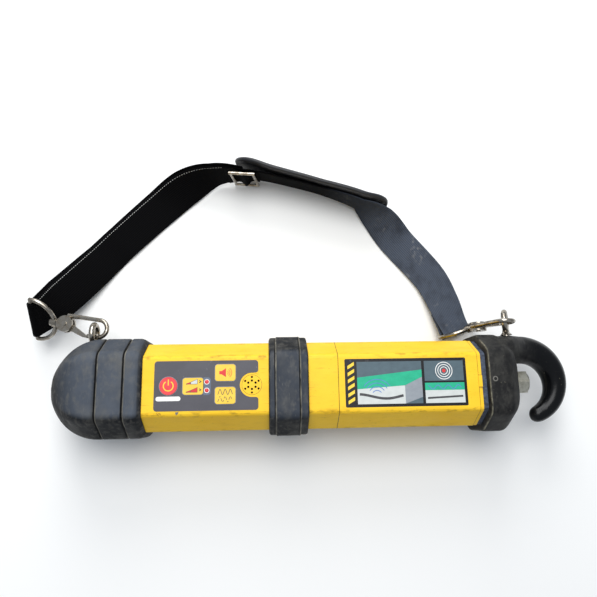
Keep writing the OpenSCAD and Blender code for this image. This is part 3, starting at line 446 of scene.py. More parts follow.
def centreBumper():  # a land with a bead at each edge, stepped down and bevelled to both sides
    half, proud, bevel = bumper["width"] / 2, tube["proud"], bumper["bevel"]
    land, step = bumper["land"], bumper["step"]
    low = proud - step
    right = [(land - 2 * step, proud, 1), (land - step, proud + bumper["bead"], 1), (land, low, 1),
        (half - bevel, low, 1), (half - bevel / 3, low - bevel / 4, 1), (half, proud - bumper["drop"], 1),
        (half, boot["slack"], 1)]
    left = [(-x, g, s) for x, g, s in right[::-1]]
    points = skinPoints(bevelled(left + right + left[:1], bumper["edge"])[:-1])
    faces = ringFaces(*points.shape[:2], joined=True)
    piece = putMesh("bumperSkin", points, faces, bumperRubber)
    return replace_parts(piece, "centre_bumper")


# rootShares are rings up the hook's root: shares of the way, its width and its depth, and the oval's power;
# tipShares are the last rings: share of the tip's own length and of its width
cap = {"x0": 194, "straight": 19, "round": 25, "endShare": 0.3, "power": 1.85, "wall": 5, "rim": 1.2,
    "edge": 0.6, "spigot": 168.6, "spigotGrow": -3.3, "bore": 4.05, "hookRadius": 35, "root": 29,
    "rootBack": 4, "tip": 17, "turn": 157, "out": 10, "drop": 0.4, "depthShare": 0.62, "taper": 1.3,
    "hookPower": 2.1, "voxel": 1.1, "softening": 14,
    "rootShares": [(0, 0.7, 1.9, 2.2), (0.12, 0.88, 2.1, 2.2), (0.28, 0.97, 2.2, 2.3), (0.45, 1, 2.1, 2.5),
    (0.65, 1, 1.75, 2.7), (0.82, 1, 1.4, 2.5), (0.94, 1, 1.16, 2.3)],
    "tipShares": [(0.45, 0.9), (0.8, 0.62), (0.97, 0.28)]}


def capRows(steps=16):  # wall of the cap: spigot, rim, straight part, then width 1 - (1 - endShare) u^power
    x0, proud, rim, spigot = cap["x0"], tube["proud"], cap["rim"], cap["spigotGrow"]
    x1 = x0 + cap["straight"]
    u = np.linspace(0, 1, steps)
    shrink = 1 - (1 - cap["endShare"]) * u ** cap["power"]
    rounding = np.stack([x1 + cap["round"] * u, np.full(steps, proud), shrink], axis=1)
    inside = spigot - cap["wall"]
    bore = cap["bore"] / (tube["width"] / 2 + inside)
    floor = x1 + cap["wall"]
    outer = [(cap["spigot"], spigot, 1), (x0, spigot, 1), (x0, proud - rim, 1), (x0 + rim, proud, 1)]
    inner = [(x1 + cap["round"], inside, bore), (floor, inside, bore), (floor, inside, 1),
        (cap["spigot"], inside, 1)]
    return np.concatenate([outer, rounding, inner])


def hookRings(sides=36, steps=40):
    # squared oval carried straight out of the cap, then tapering round the bend, and rounded off at the tip
    radius, root, tip, share = cap["hookRadius"], cap["root"], cap["tip"], cap["depthShare"]
    rootX = cap["x0"] + cap["straight"] - cap["rootBack"]
    hookX = cap["x0"] + cap["straight"] + cap["round"] + cap["out"]
    hookY = tube["width"] / 2 + tube["proud"] - root / 2 - radius - cap["drop"]
    t = np.linspace(0, 2 * np.pi, sides, endpoint=False)
    c, s = np.cos(t), np.sin(t)

    def oval(wide, deep, power):
        return np.sign(c) * wide * np.abs(c) ** (2 / power), np.sign(s) * deep * np.abs(s) ** (2 / power)

    at, size, deep, power = np.array(cap["rootShares"]).T[..., None]
    a, b = oval(size * root / 2, deep * root * share, power)
    x = np.broadcast_to(rootX + at * (hookX - rootX), a.shape)
    straight = np.stack([x, hookY + radius + a, b], axis=-1)
    bend = np.linspace(0, 1, steps)
    half = (root + (tip - root) * bend ** cap["taper"]) / 2
    deep = half * (1 + (2 * share - 1) * (1 - bend))
    ends, sizes = np.array(cap["tipShares"]).T
    tipAngle = math.degrees(tip / 2 / radius)
    angle = np.radians(90 - cap["turn"] * bend)
    angle = np.concatenate([angle, np.radians(90 - cap["turn"] - tipAngle * ends)])[:, None]
    half, deep = (np.concatenate([v, tip / 2 * sizes])[:, None] for v in (half, deep))
    a, b = oval(half, deep, cap["hookPower"])
    bent = np.stack([hookX + (radius + a) * np.cos(angle), hookY + (radius + a) * np.sin(angle), b], axis=-1)
    return (np.concatenate([straight, bent]) + (0, 0, tube["axisZ"])) * mm


def fuse(piece, voxel, rounds):  # one skin over crossing shells, softened so that they meet in a fillet
    remesh = piece.modifiers.new("fuse", "REMESH")
    remesh.mode, remesh.voxel_size, remesh.use_smooth_shade = "VOXEL", voxel * mm, True
    soften = piece.modifiers.new("soften", "SMOOTH")
    soften.factor, soften.iterations = 0.5, rounds
    mesh = bpy.data.meshes.new_from_object(piece.evaluated_get(bpy.context.evaluated_depsgraph_get()))
    piece.modifiers.clear()
    piece.data = mesh


def hookCap():  # the cap's wall and the hook as crossing shells, fused to one skin
    shell, hook = skinPoints(bevelled(capRows(), cap["edge"])), hookRings()
    faces = ringFaces(*shell.shape[:2], joined=True) + ringFaces(*hook.shape[:2], first=shell.size // 3)
    points = np.concatenate([shell.reshape(-1, 3), hook.reshape(-1, 3)])
    piece = putMesh("hookCapSkin", points, faces, capNylon)
    fuse(piece, cap["voxel"], cap["softening"])
    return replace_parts(piece, "hook_cap")


noseBoot()
centreBumper()
hookCap()
print("boot, bumper and hook cap skinned")


# Strap: one webbing, sewn round the right D-loop, along the pad, round the left D-loop, back to the adjuster.
# Its returnEnd and tailEnd are stations on the route, and lap is how far round a bar it goes, in degrees
strap = {"width": 40, "thick": 1.6, "reach": 176, "loopWire": 4.5, "gap": 0.3, "barAt": -72.15,
    "leftRoll": 42, "rightRoll": 20, "peek": 3, "returnEnd": 7, "tailEnd": 14.6, "lap": (10, 170)}
strapShares = np.array([  # shares of the span, of the reach and of the width, then the lean in degrees
    (0, 0, 0, -45), (0.05, 0.153, 0.55, -30), (0.128, 0.41, 0.12, -8), (0.178, 0.55, 0.1, -4),
    (0.271, 0.78, 0.14, -12), (0.335, 0.9, 0.36, -40), (0.404, 0.97, 0.56, -80), (0.481, 0.97, 0.685, -98),
    (0.546, 0.935, 0.715, -101), (0.669, 0.85, 0.715, -101), (0.767, 0.76, 0.675, -94),
    (0.819, 0.68, 0.42, -50), (0.87, 0.54, 0.12, -8), (0.947, 0.301, 0.115, 0), (0.977, 0.135, 0.165, 7),
    (0.991, 0.018, 0.23, 15), (1, 0, 0, 22)])
strapLast = len(strapShares) - 1


def barOf(side, roll):  # middle of a D-loop's bar in mm, and the way the bar runs
    swivel, gate = joints[side + "_swivel"], joints[side + "_gate_hinge"]
    along, across = np.array(swivel["axis"]), np.array(gate["axis"])
    way = math.cos(math.radians(roll)) * np.cross(across, along) + math.sin(math.radians(roll)) * across
    return np.array(swivel["pos_m"]) / mm + strap["barAt"] * along, way


leftBar, leftBarDir = barOf("left", strap["leftRoll"])
rightBar, rightBarDir = barOf("right", strap["rightRoll"])
stations = np.concatenate([leftBar[:1] + strapShares[:, :1] * (rightBar - leftBar)[0],
    leftBar[1] + strapShares[:, 1:2] * strap["reach"], strapShares[:, 2:3] * strap["width"]], axis=1)
stations[0], stations[-1] = leftBar, rightBar


def splineAt(values, t):  # Catmull-Rom curve through the stations, with the end ones repeated
    i = np.clip(np.floor(t).astype(int), 0, strapLast - 1)
    f = (t - i)[:, None]
    a, b, c, d = (values[np.clip(i + k, 0, strapLast)] for k in (-1, 0, 1, 2))
    return b + f / 2 * (c - a + f * (2 * a - 5 * b + 4 * c - d + f * (3 * b - a - 3 * c + d)))


near = 0.05  # a short step along the route, in stations


def strapFrame(t):  # place, direction across, direction out of the face and heading, at each t
    t = np.asarray(t, dtype=float)
    place = splineAt(stations, t)
    before, after = np.maximum(t - near, 0), np.minimum(t + near, strapLast)
    heading = unit(splineAt(stations, after) - splineAt(stations, before))
    level = unit(np.stack([heading[:, 1], -heading[:, 0], np.zeros(len(t))], axis=1))
    lean = np.radians(np.interp(t, np.arange(strapLast + 1), strapShares[:, 3]))[:, None]
    free = np.cos(lean) * level + np.sin(lean) * np.cross(level, heading)
    left, right = np.clip(1 - t, 0, 1)[:, None], np.clip(t - strapLast + 1, 0, 1)[:, None]
    across = unit((1 - left - right) * free - left * leftBarDir + right * rightBarDir)
    heading = unit(heading - (heading * across).sum(axis=1, keepdims=True) * across)
    return place, across, np.cross(heading, across), heading


wrapRadius = strap["loopWire"] / 2 + strap["gap"] + strap["thick"] / 2
layer = (strap["thick"] + strap["gap"]) / 2


def nearEnd(t, end):  # 1 at that station, falling to 0 one station away
    return np.maximum(0, 1 - np.abs(t - end))


def faceShift(t):  # how far a layer stands off the route
    two = layer + (wrapRadius - layer) * nearEnd(t, 0)
    one = np.maximum(layer * nearEnd(t, strap["returnEnd"]), wrapRadius * nearEnd(t, strapLast))
    return np.where(t <= strap["returnEnd"], two, one)


def strapPath():  # centres, across and face directions of the whole webbing, in the order it is threaded
    def run(t, off, side, face):
        place, across, out, heading = strapFrame(t)
        return place + off[:, None] * out + side[:, None] * across, across, face * out

    def wrap(end, sign, angles):
        place, across, out, heading = (v[0] for v in strapFrame([end]))
        a = np.radians(angles)[:, None]
        away = -np.cos(a) * out - sign * np.sin(a) * heading
        return place + wrapRadius * away, np.broadcast_to(across, away.shape), -away

    back = np.linspace(strap["returnEnd"], 0, 100)
    front = np.linspace(0, strapLast, 260)
    tail = np.linspace(strapLast, strap["tailEnd"], 24)
    lap = np.linspace(*strap["lap"], 17)
    sewn = strap["thick"] + strap["gap"]
    parts = [run(back, faceShift(back), -strap["peek"] * (1 - nearEnd(back, 0)), -1), wrap(0, 1, lap[::-1]),
        run(front, -faceShift(front), 0 * front, 1), wrap(strapLast, -1, lap),
        run(tail, sewn + (wrapRadius - sewn) * nearEnd(tail, strapLast), 0 * tail, -1)]
    return [np.concatenate(v) for v in zip(*parts)]


# Woven polyester: black and dull, in lengthwise cords drawn coarser than they are so that they show; rubbed
# to blue-grey towards the hook end, between two places along X in mm
webLook = {"black": "#050506", "faded": "#505763", "lint": "#9A9894", "dark": "#2A2C31", "cord": 2.1,
    "pick": 1.9, "pickShare": 0.15, "valley": 0.55, "fadeFrom": 45, "fadeTo": 110}


def wovenPolyester():
    material, tree, place = startSurface("wovenPolyester", {"Roughness": 0.85, "Specular IOR Level": 0.06})
    onCloth = addNode(tree, "TexCoord", out=2)  # the cloth's own UV map, in metres
    waves = []
    for axis, pitch in ((1, webLook["cord"]), (0, webLook["pick"])):
        turns = addNode(tree, "Math", {0: addNode(tree, "SeparateXYZ", {0: onCloth}, axis),
            1: 2 * math.pi / (pitch * mm)}, operation="MULTIPLY")
        waves.append(addNode(tree, "Math", {0: turns}, operation="SINE"))
    weave = addNode(tree, "Math", {0: waves[1], 1: webLook["pickShare"], 2: waves[0]},
        operation="MULTIPLY_ADD")
    height = 1 + webLook["pickShare"]
    tone = addNode(tree, "MapRange", {"Value": weave, "From Min": -height, "From Max": height,
        "To Min": webLook["valley"]})
    faded = addNode(tree, "MapRange", {"Value": addNode(tree, "SeparateXYZ", {0: place}, 0),
        "From Min": webLook["fadeFrom"] * mm, "From Max": webLook["fadeTo"] * mm})
    colour = blendColours(tree, webLook["black"], [(webLook["faded"], faded, tone),
        (webLook["dark"], faded, patches(place, 13, 0.45, 0.75, (1, 1.4, 1), 3.8, most=0.6)),
        (webLook["lint"], faded, patches(place, 4, 0.5, 0.78, (1, 1.6, 1), 1.2),
            patches(place, 34, 0.52, 0.72, seed=9.1))])
    return finishSurface(material, colour, None, weave, 0.25, 0.6)


webbing = wovenPolyester()
thread = cloudedPlastic("polyesterThread", "#C9C9C6", "#A9A9A6", 0.7, 2)


def ribbonSection():  # rounded strip: flat faces with thin selvedges, counter-clockwise
    low = [(-1, -0.3), (-0.985, -0.8), (-0.95, -1), (-0.6, -0.94), (-0.2, -1), (0.2, -0.95), (0.6, -1),
        (0.95, -1), (0.985, -0.8), (1, -0.3)]
    return np.array(low + [(-a, -b) for a, b in low])


def ribbon(name, centre, across, face, wide, thick):  # a strip of webbing along a line of centres
    run = lengthAlong(centre)
    section = ribbonSection() * [wide / 2, thick / 2]
    points = centre[:, None] + section[None, :, :1] * across[:, None] + section[None, :, 1:] * face[:, None]
    rows, ring = points.shape[:2]
    uv = np.stack(np.broadcast_arrays(run[:, None], section[:, 0]), axis=-1).reshape(-1, 2) * mm
    piece = putMesh(name, points * mm, ringFaces(rows, ring), webbing, uv=uv)
    return piece, run[-1]


def strapWebbing():
    piece, length = ribbon("strapWebbing", *strapPath(), strap["width"], strap["thick"])
    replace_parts(piece, "strap_webbing")
    print("webbing length", round(length), "mm")
    return piece, length


slider = {"at": 7, "reach": 20, "wide": 39.4, "thick": 0.9, "spread": 4.6, "lift": 2.4, "wire": 3.4,
    "slack": 0.1}


def slideLoop():  # webbing over the adjuster's middle bar: its height is a bell, exp(-(s / spread)^2)
    s = np.linspace(-slider["reach"], slider["reach"], 61)
    beside = strapFrame(slider["at"] + np.array([-near, near]))[0]
    step = 2 * near / np.linalg.norm(beside[1] - beside[0])
    place, across, out, heading = strapFrame(slider["at"] + step * s)
    low = layer + (strap["thick"] + slider["thick"]) / 2 + slider["slack"]
    high = layer + strap["thick"] + slider["lift"] + slider["wire"] + slider["thick"] / 2 + slider["slack"]
    centre = place - (low + (high - low) * np.exp(-(s / slider["spread"]) ** 2))[:, None] * out
    face = np.cross(unit(np.gradient(centre, axis=0)), across)
    ribbon("slideLoop", centre, across, face, slider["wide"], slider["thick"])


def evenSteps(curve, start, stop, pitch, count):  # parameters at even distances along a curve
    t = np.linspace(start, stop, count)
    run = lengthAlong(curve(t)[0])
    return np.interp(np.arange(0, run[-1], pitch), run, t)


def stitchRow(name, places, along, out, length, thick, yarn, slot="webbing", sides=6, flatness=0.7):
    # a row of sewn stitches: each one a flattened spindle of four rings that lies along the seam
    s = np.array([-0.5, -0.35, 0.35, 0.5])
    girth = np.array([0.25, 1, 1, 0.25])
    a = np.linspace(0, 2 * np.pi, sides, endpoint=False)[:, None, None]
    ring = (np.cos(a) * np.cross(out, along) + flatness * np.sin(a) * out) * thick / 2
    points = places[:, None, None] + s[None, :, None, None] * length * along[:, None, None]
    points = points + girth[None, :, None, None] * ring.transpose(1, 0, 2)[:, None]
    starts = np.arange(len(places)) * len(s) * sides
    faces = [face for first in starts for face in ringFaces(len(s), sides, first=first)]
    return putMesh(name, points * mm, faces, yarn)


seam = {"pitch": 2.9, "length": 2.0, "thick": 0.55, "inset": 2.6, "from": 0.35, "to": 6.7}


def strapStitches():
    t = evenSteps(strapFrame, seam["from"], seam["to"], seam["pitch"], 800)
    place, across, out, heading = strapFrame(t)
    place = place - (faceShift(t)[:, None] + strap["thick"] / 2) * out
    place = place - (strap["width"] / 2 - seam["inset"]) * across
    return stitchRow("seamStitches", place, heading, -out, seam["length"], seam["thick"], thread)


cloth, clothLength = strapWebbing()
slideLoop()
stitches = [strapStitches()]
print("strap threaded")


# Shoulder pad: a slim foam pad in coated cloth, bound along its edge, on the outer face of the webbing;
# from and to are stations on the strap's route, stitchRun shares of the pad's length
pad = {"from": 6.75, "to": 10.9, "width": 54, "thick": 7, "gap": 0.3, "startLift": 7, "endLift": 3.5,
    "rows": 90, "seamInset": 6.4, "seamDepth": 0.55, "seamSpread": 1.4, "pucker": 0.22, "puckerPitch": 7,
    "puckerInset": 4, "binding": (2.7, 2.5), "bindingInset": 1.3, "stitchPitch": 3.4,
    "stitchRun": (0.07, 0.93), "stitch": (2.3, 0.6), "sinkShare": 0.7, "endSteps": 14}
padEnds = ([0, 0.15, 0.4, 1, 2, 3], [0.4, 0.5, 0.64, 0.86, 0.97, 1])  # steps from an end, share of the width


def padFrame(q):  # the pad's middle line a little off the webbing, lifting at both ends
    place, across, out, heading = strapFrame(pad["from"] + (pad["to"] - pad["from"]) * q)
    away = pad["startLift"] * (1 - q) ** 3 + pad["endLift"] * q ** 6
    off = strap["thick"] / 2 + pad["gap"] + pad["thick"] / 2 + away
    share = np.interp(np.minimum(q, 1 - q) * pad["endSteps"], *padEnds)
    return place + off[:, None] * out, across, out, heading, share


def padHeight(x, share):  # crowned section: the fourth power keeps it full until near the edge
    full = np.clip(1 - (np.abs(x) / (share * pad["width"] / 2)) ** 4, 0, 1)
    return pad["thick"] / 2 * (share + 1) / 2 * full ** 0.35


# Coated polyester over foam: near black and smooth, with a soft shine and a fine leathery crease
padLook = {"colour": "#141518", "worn": "#24262B", "rub": "#4A4A48"}


def coatedCloth():
    material, tree, place = startSurface("coatedPolyester", {"Roughness": 0.5, "IOR": 1.48})
    colour = blendColours(tree, padLook["colour"], [
        (padLook["worn"], patches(place, 16, 0.45, 0.75, (2, 1, 1), 2.4, most=0.6)),
        (padLook["rub"], patches(place, 3, 0.6, 0.72, (3, 1, 1), 5.2, most=0.3))])
    return finishSurface(material, colour, None, patches(place, 1.3, 0.3, 0.7), 0.09, 0.5)


padCloth = coatedCloth()
padYarn = cloudedPlastic("bondedNylonThread", "#3B3C40", "#2E2F33", 0.6, 2)


def shoulderPad():  # crowned oval rings along the strap, drawn in along the seam and puckered outside it
    middle, across, out, heading, share = padFrame(np.linspace(0, 1, pad["rows"]))
    run, half = lengthAlong(middle)[:, None], share[:, None] * pad["width"] / 2
    a = np.linspace(0, 2 * np.pi, 64, endpoint=False)
    c, n = np.cos(a)[None], np.sin(a)[None]
    x = half * np.sign(c) * np.abs(c) ** 0.5
    inset = half - np.abs(x)
    dent = pad["seamDepth"] * np.exp(-((inset - pad["seamInset"]) / pad["seamSpread"]) ** 2)
    ripple = pad["pucker"] * np.sin(2 * np.pi * run / pad["puckerPitch"])
    dent = dent + ripple * np.exp(-((inset - pad["puckerInset"]) / pad["puckerInset"]) ** 2)
    y = np.sign(n) * (padHeight(x, share[:, None]) - dent * np.minimum(1, np.abs(n) * 2))
    points = middle[:, None] + x[..., None] * across[:, None] + y[..., None] * out[:, None]
    piece = putMesh("shoulderPad", points * mm, ringFaces(*points.shape[:2]), padCloth)
    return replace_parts(piece, "shoulder_pad")


def padBinding(sides=80, turns=7, eased=3):  # a flat oval carried once round the pad's edge
    ends = np.linspace(1, -1, turns + 2)[1:-1]
    along = np.linspace(0, 1, sides)
    q = np.concatenate([along, np.ones(turns), along[::-1], np.zeros(turns)])
    side = np.concatenate([np.ones(sides), ends, -np.ones(sides), -ends])
    middle, across, out, heading, share = padFrame(q)
    edge = middle + (side * (share * pad["width"] / 2 - pad["bindingInset"]))[:, None] * across
    for i in range(eased):  # eases the corners
        edge = (np.roll(edge, 1, axis=0) + 2 * edge + np.roll(edge, -1, axis=0)) / 4
    along = unit(np.roll(edge, -1, axis=0) - np.roll(edge, 1, axis=0))
    a = np.linspace(0, 2 * np.pi, 14, endpoint=False)[None, :, None]
    wide, tall = pad["binding"]
    points = edge[:, None] + wide * np.cos(a) * np.cross(out, along)[:, None]
    points = points + tall * np.sin(a) * out[:, None]
    faces = ringFaces(*points.shape[:2], joined=True)
    return putMesh("padBinding", points * mm, faces, padCloth)


def padStitches():  # a row along each side on both faces, sunk in the seam's dent
    q = evenSteps(padFrame, *pad["stitchRun"], pad["stitchPitch"], 400)
    middle, across, out, heading, share = padFrame(q)
    x = share * pad["width"] / 2 - pad["seamInset"]
    y = padHeight(x, share) - pad["seamDepth"] * pad["sinkShare"]
    rows = [(middle + (side * x)[:, None] * across + (face * y)[:, None] * out, heading, face * out)
        for side in (1, -1) for face in (1, -1)]
    places, along, out = (np.concatenate(v) for v in zip(*rows))
    return stitchRow("padStitches", places, along, out, *pad["stitch"], padYarn, "pad_fabric")


shoulderPad()
padBinding()
padStitches()
print("pad made")


# Printed marks: flat inks a hair thick, on the keys, the keypad and the label
ink = {"sunk": 0.1, "rise": 0.06}
inks = {name: cloudedPlastic(name + "Ink", a, b, 0.5, 5) for name, a, b in (
    ("pale", "#8F97A6", "#828A99"), ("dark", "#4A4A4C", "#3C3C3E"), ("red", "#D33A38", "#C03234"),
    ("orange", "#E58A3A", "#D97C30"), ("yellow", "#F3CF46", "#E8C038"), ("white", "#EDECE8", "#DEDDD8"),
    ("slate", "#52646C", "#4A5A62"), ("green", "#25AE86", "#1FA07B"), ("stone", "#CBCFCC", "#BFC3C0"),
    ("ash", "#8F959B", "#858B91"), ("tab", "#626C7D", "#596374"), ("chalk", "#6F6D67", "#615F5A"),
    ("blue", "#5C7FC0", "#5274B4"), ("seam", "#5A4416", "#40300F"), ("bronze", "#A67C1A", "#8F6A14"))}
inks["abs"] = yellowAbs


def arc(x, y, radius, start, stop, steps=24):  # points on an arc, angles in degrees
    a = np.radians(np.linspace(start, stop, steps))
    return np.stack([x + radius * np.cos(a), y + radius * np.sin(a)], axis=1)


def circle(x, y, radius, steps=24):
    return arc(x, y, radius, 0, 360 - 360 / steps, steps)


def roundedBox(x, y, wide, tall, radius):  # four corner arcs, counter-clockwise
    half = [(wide / 2 - radius, tall / 2 - radius), (radius - wide / 2, tall / 2 - radius)]
    half += [(-a, -b) for a, b in half]
    return np.concatenate([arc(x + a, y + b, radius, start, start + 90, 7)
        for (a, b), start in zip(half, (0, 90, 180, 270))])


def strokeSides(path, width, closed):  # the two borders of a line of that width, mitred at its corners
    path = np.asarray(path, dtype=float)
    step = np.roll(path, -1, axis=0) - path if closed else np.diff(path, axis=0)
    normal = unit(np.stack([-step[:, 1], step[:, 0]], axis=1))
    first = np.roll(normal, 1, axis=0) if closed else np.concatenate([normal[:1], normal])
    second = normal if closed else np.concatenate([normal, normal[-1:]])
    mitre = (first + second) / (1 + (first * second).sum(axis=1, keepdims=True))
    return path + mitre * width / 2, path - mitre * width / 2


def printed(name, colour, z, fills=(), strokes=(), rings=(), lift=1, body="housing", slot="overlay_film"):
    # fills are outlines; strokes and rings are (line, width), open and closed; all stand a hair proud of z
    low, high = z - ink["sunk"], z + lift * ink["rise"]
    points, faces = [], []

    def level(flat, height):
        return np.column_stack([flat, np.full(len(flat), height)])

    def add(block, joined=False):
        faces.extend(ringFaces(*block.shape[:2], joined, sum(map(len, points))))
        points.append(block.reshape(-1, 3))

    for outline in fills:
        add(np.stack([level(outline, low), level(outline, high)]))
    for line, width, closed in [(*s, False) for s in strokes] + [(*r, True) for r in rings]:
        a, b = strokeSides(line, width, closed)
        add(np.stack([level(a, low), level(a, high), level(b, high), level(b, low)], axis=1), closed)
    return putMesh(name, np.concatenate(points) * mm, faces, inks[colour], body, smooth=False)


keypad = {"top": 92.3, "keyTop": 93.0, "power": (-114.15, 0), "level": (-91.05, -0.6),
    "volume": (-60.55, 11.8), "signal": (-60.55, -9.7), "key": (19.2, 15.6, 2.5), "powerSize": 16.8,
    "lamp": (-78.0, -0.6, 4.0), "halo": (2.25, 0.6), "outline": 0.4, "outlineWidth": 0.35,
    "grille": (-35.3, 0, 9.5), "grilleLine": 0.3, "tab": (-81.1, -74.2, 8.3, 3),
    "strip": (-114.15, -12, 23.2, 4.2), "stripRound": 2.09, "slot": (11.5, -29.2, 2.5)}


def keypadMarks():
    top, edge, line = keypad["top"], keypad["outline"], keypad["outlineWidth"]
    wide, tall, radius = keypad["key"]
    rings = [(roundedBox(*keypad[key], wide + 2 * edge, tall + 2 * edge, radius + edge), line)
        for key in ("level", "volume", "signal")]
    rings.append((circle(*keypad["power"], keypad["powerSize"] / 2 + edge, 48), line))
    printed("keyOutlines", "pale", top, rings=rings)
    x, y, apart = keypad["lamp"]
    x0, x1, half, corner = keypad["tab"]
    tab = np.concatenate([[(x0, y - half)], arc(x1 - corner, y - half + corner, corner, -90, 0, 8),
        arc(x1 - corner, y + half - corner, corner, 0, 90, 8), [(x0, y + half)]])
    printed("lampTab", "tab", top, [tab], slot="window_film")
    radius, line = keypad["halo"]
    halos = [(circle(x, y + side * apart, radius), line) for side in (1, -1)]
    printed("lampHalos", "white", top, rings=halos, lift=4, slot="window_film")
    strip = roundedBox(*keypad["strip"], keypad["stripRound"])
    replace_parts(printed("markingStrip", "white", top, [strip], lift=5, slot="white_film"), "marking_strip")
    half, right, corner = keypad["slot"]
    x, y, radius = keypad["grille"]
    swing = math.degrees(math.acos((right - x) / half))
    notch = np.concatenate([arc(right - corner, half + corner, corner, -90, 0, 8),
        arc(x, y, half, swing, 90, 10)])
    printed("slotCorners", "abs", top, [notch[::-1], notch * (1, -1)], slot="yellow_plastic")


# Signs on the keys, in mm from each key's middle: power, a low and a high level, a loudspeaker and two waves
signs = {"powerRing": (4.6, 122, 418, 36), "powerBar": [(0, 0.5), (0, 6.1)], "powerLine": 1.0,
    "tail": [(-6.4, -0.1), (-2.3, 0.1), (-2.3, 1.8), (-6.2, 0.5)],
    "wedge": [(-2.0, 0), (4.2, 0), (4.2, 4.6), (-2.0, 1.9)], "hint": [(5.9, 3.4), (7.6, 2.3), (5.9, 1.2)],
    "high": (0, 2.0), "low": (0, -5.7), "hintLine": 0.7, "wedgeLine": 0.3,
    "horn": [(-5.7, -1.5), (-3.6, -1.5), (0.6, -4.2), (0.6, 4.2), (-3.6, 1.5), (-5.7, 1.5)],
    "sounds": (1.9, 3.6, 5.3), "soundArc": (-52, 52, 14), "soundLine": 0.85, "soundX": 0.8,
    "waveReach": 7, "waveHeight": 2.5, "waveLength": 4.9, "waveUp": (0, 3.3), "waveDown": (0, -3.5),
    "waveLine": 0.55, "dash": (5, 6)}


def keySigns():
    def on(key, shape, offset=(0, 0)):
        return np.asarray(shape, dtype=float) + keypad[key] + offset

    top, slot = keypad["keyTop"], "yellow_key"
    power = [on("power", arc(0, 0, *signs["powerRing"])), on("power", signs["powerBar"])]
    printed("powerMark", "yellow", top, strokes=[(line, signs["powerLine"]) for line in power],
        body="power_button", slot=slot)
    tails, wedges, hints = ([on("level", signs[part], signs[at]) for at in ("high", "low")]
        for part in ("tail", "wedge", "hint"))
    printed("levelRed", "red", top, tails + wedges[1:], body="level_button", slot=slot)
    printed("levelPale", "stone", top, wedges[:1], body="level_button", slot=slot)
    printed("levelLines", "dark", top, strokes=[(hint, signs["hintLine"]) for hint in hints],
        rings=[(shape, signs["wedgeLine"]) for shape in tails + wedges], lift=2,
        body="level_button", slot=slot)
    printed("volumeHorn", "red", top, [on("volume", signs["horn"])], body="volume_button", slot=slot)
    sounds = [on("volume", arc(signs["soundX"], 0, radius, *signs["soundArc"])) for radius in signs["sounds"]]
    printed("volumeWaves", "orange", top, strokes=[(line, signs["soundLine"]) for line in sounds],
        body="volume_button", slot=slot)
    x = np.linspace(-signs["waveReach"], signs["waveReach"], 57)
    wave = np.stack([x, signs["waveHeight"] * np.cos(2 * np.pi * x / signs["waveLength"])], axis=1)
    dash, every = signs["dash"]
    starts = range(0, len(wave) - dash + 1, every)
    dashes = [on("signal", wave[k:k + dash], signs["waveDown"]) for k in starts]
    lines = [on("signal", wave, signs["waveUp"])] + dashes
    printed("signalWaves", "dark", top, strokes=[(line, signs["waveLine"]) for line in lines],
        body="signal_button", slot=slot)


# The label, in mm along and across the tube; ground has its heights at left, at the cut's corner and at right
label = {"column": (57, 63.4), "stripe": 3.3, "slant": 0.6, "bars": 6, "field": (-20.3, 20.3),
    "wide": (66, 129.5), "small": (132.2, 171), "split": 0.9, "cut": 17, "cutRise": 6, "ground": (-6, -3, 5),
    "turf": (5, 12), "smallGround": -8, "cable": (-13, 2.2, 9), "cableLine": 2.4, "smallCable": (-15.5, -14),
    "smallLine": 1.8, "inset": 2, "source": (85, -12.4), "spread": (5, 8.5, 12, 15.5),
    "signalArc": (35, 145, 18), "wave": (-5.2, 1.9, 1.6), "waveInset": 3, "line": 0.7,
    "target": (3.6, 5.9, 8.2), "dot": 1.8}


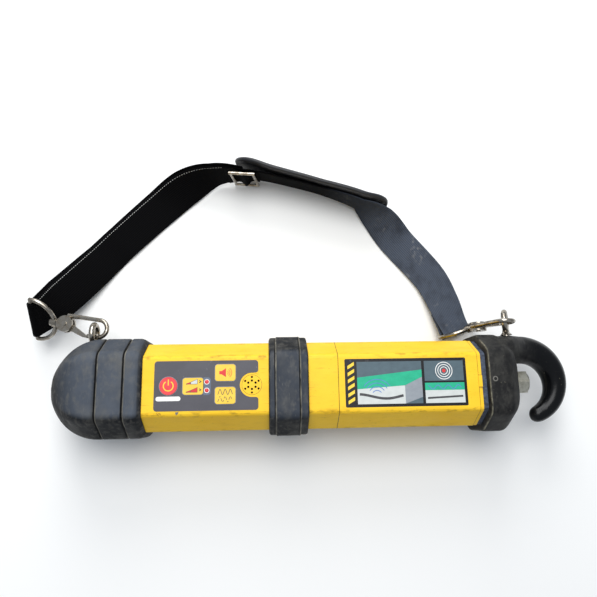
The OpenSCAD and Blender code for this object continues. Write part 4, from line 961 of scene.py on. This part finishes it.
def labelMarks():
    # a plain scheme of a buried cable: hazard stripes, ground in section, signal rings and a wave
    def put(name, colour, fills=(), lift=1, **lines):
        printed(name, colour, tube["front"], fills, lift=lift, slot="label_film", **lines)

    def box(x0, x1, y0, y1):
        return [(x0, y0), (x1, y0), (x1, y1), (x0, y1)]

    low, high = label["field"]
    (x0, x1), (s0, s1), mid, inset = label["wide"], label["small"], label["split"], label["inset"]
    corner, left, right = x1 - label["cut"], *label["column"]
    rise, stripe = (right - left) * label["slant"], label["stripe"]
    bar = np.array([(left, 0), (right, rise), (right, rise + stripe), (left, stripe)])
    steps = np.linspace(low, high - rise - stripe, label["bars"])
    put("labelStripes", "yellow", [bar + (0, y) for y in steps])
    put("labelSky", "slate", [box(x0, x1, low, high), box(s0, s1, mid, high)])
    start, edge, stop = label["ground"]
    put("labelGround", "stone", [[(x0, low), (corner, low), (corner, edge), (x0, start)],
        box(s0, s1, low, label["smallGround"])], 2)
    put("labelCut", "ash", [[(corner, low), (x1, low + label["cutRise"]), (x1, stop), (corner, edge)]], 2)
    back, far = label["turf"]
    put("labelTurf", "green", [[(x0, start), (corner, edge), (x1, stop), (x1, far), (x0, back)],
        box(s0, s1, label["smallGround"], -mid)], 3)
    x = np.linspace(x0 + inset, corner - inset, 30)
    depth, swing, pitch = label["cable"]
    cable = np.stack([x, depth + swing * np.cos((x - x0) / pitch)], axis=1)
    small = np.column_stack([(s0 + inset, s1 - inset), label["smallCable"]])
    put("labelCable", "dark", lift=3, strokes=[(cable, label["cableLine"]), (small, label["smallLine"])])
    signal = [arc(*label["source"], radius, *label["signalArc"]) for radius in label["spread"]]
    x = np.linspace(s0 + label["waveInset"], s1 - label["waveInset"], 50)
    depth, swing, pitch = label["wave"]
    signal.append(np.stack([x, depth + swing * np.sin((x - s0) / pitch)], axis=1))
    put("labelWaves", "blue", lift=4, strokes=[(line, label["line"]) for line in signal])
    centre = ((s0 + s1) / 2, (mid + high) / 2)
    target = [circle(*centre, radius, 36) for radius in label["target"]]
    put("labelRings", "white", lift=2, rings=[(ring, label["line"]) for ring in target])
    put("labelDot", "red", [circle(*centre, label["dot"], 18)], 2)


def tubeLine(name, colour, at, half, sunk=0.5, rise=0.04):  # a thin dark line round the tube
    start, stop = at - half, at + half
    points = skinPoints([(start, -sunk, 1), (start, rise, 1), (stop, rise, 1), (stop, -sunk, 1)])
    putMesh(name, points, ringFaces(*points.shape[:2], joined=True), inks[colour])


def grilleRim():
    rim = (circle(*keypad["grille"], 48), keypad["grilleLine"])
    printed("grilleRim", "seam", tube["front"], rings=[rim], slot="yellow_plastic")


# Small marks of wear and moulding on the tube and the cap, in mm
wear = {"chip": [(-106.9, -26.2), (-106.2, -27.2), (-105.2, -26.4), (-104.4, -25.4), (-104.2, -24.3),
    (-107.2, -24.6)],
    "scuffs": [[(-124.6, -25.2), (-122.4, -26.9)], [(-123.4, -24.4), (-121.4, -26.1)],
    [(-121.6, -24.6), (-120.7, -27)]],
    "line": 0.45, "latchFrom": 185.2, "latchHalf": 5.8, "seamHalf": 0.28, "rimHalf": 0.2, "rimBack": 3.5}
gate = {"place": (200, 1.7), "top": 98, "radius": 2.1, "line": 0.9}


def wearMarks():
    top, slot = tube["front"], "yellow_plastic"
    latch = [[(wear["latchFrom"], y), (tube["openEnd"], y)] for y in (-wear["latchHalf"], wear["latchHalf"])]
    printed("filmChip", "chalk", top, [wear["chip"]], slot=slot)
    for name, lines in (("cornerScuffs", wear["scuffs"]), ("latchEdges", latch)):
        printed(name, "bronze", top, strokes=[(line, wear["line"]) for line in lines], slot=slot)
    tubeLine("seamLine", "seam", tube["seam"], wear["seamHalf"])
    tubeLine("rimLine", "bronze", tube["openEnd"] - wear["rimBack"], wear["rimHalf"])
    ring = (circle(*gate["place"], gate["radius"]), gate["line"])
    printed("gateMark", "chalk", gate["top"], rings=[ring], lift=4, slot="cap_plastic")


keypadMarks()
keySigns()
grilleRim()
labelMarks()
wearMarks()
print("marks printed")
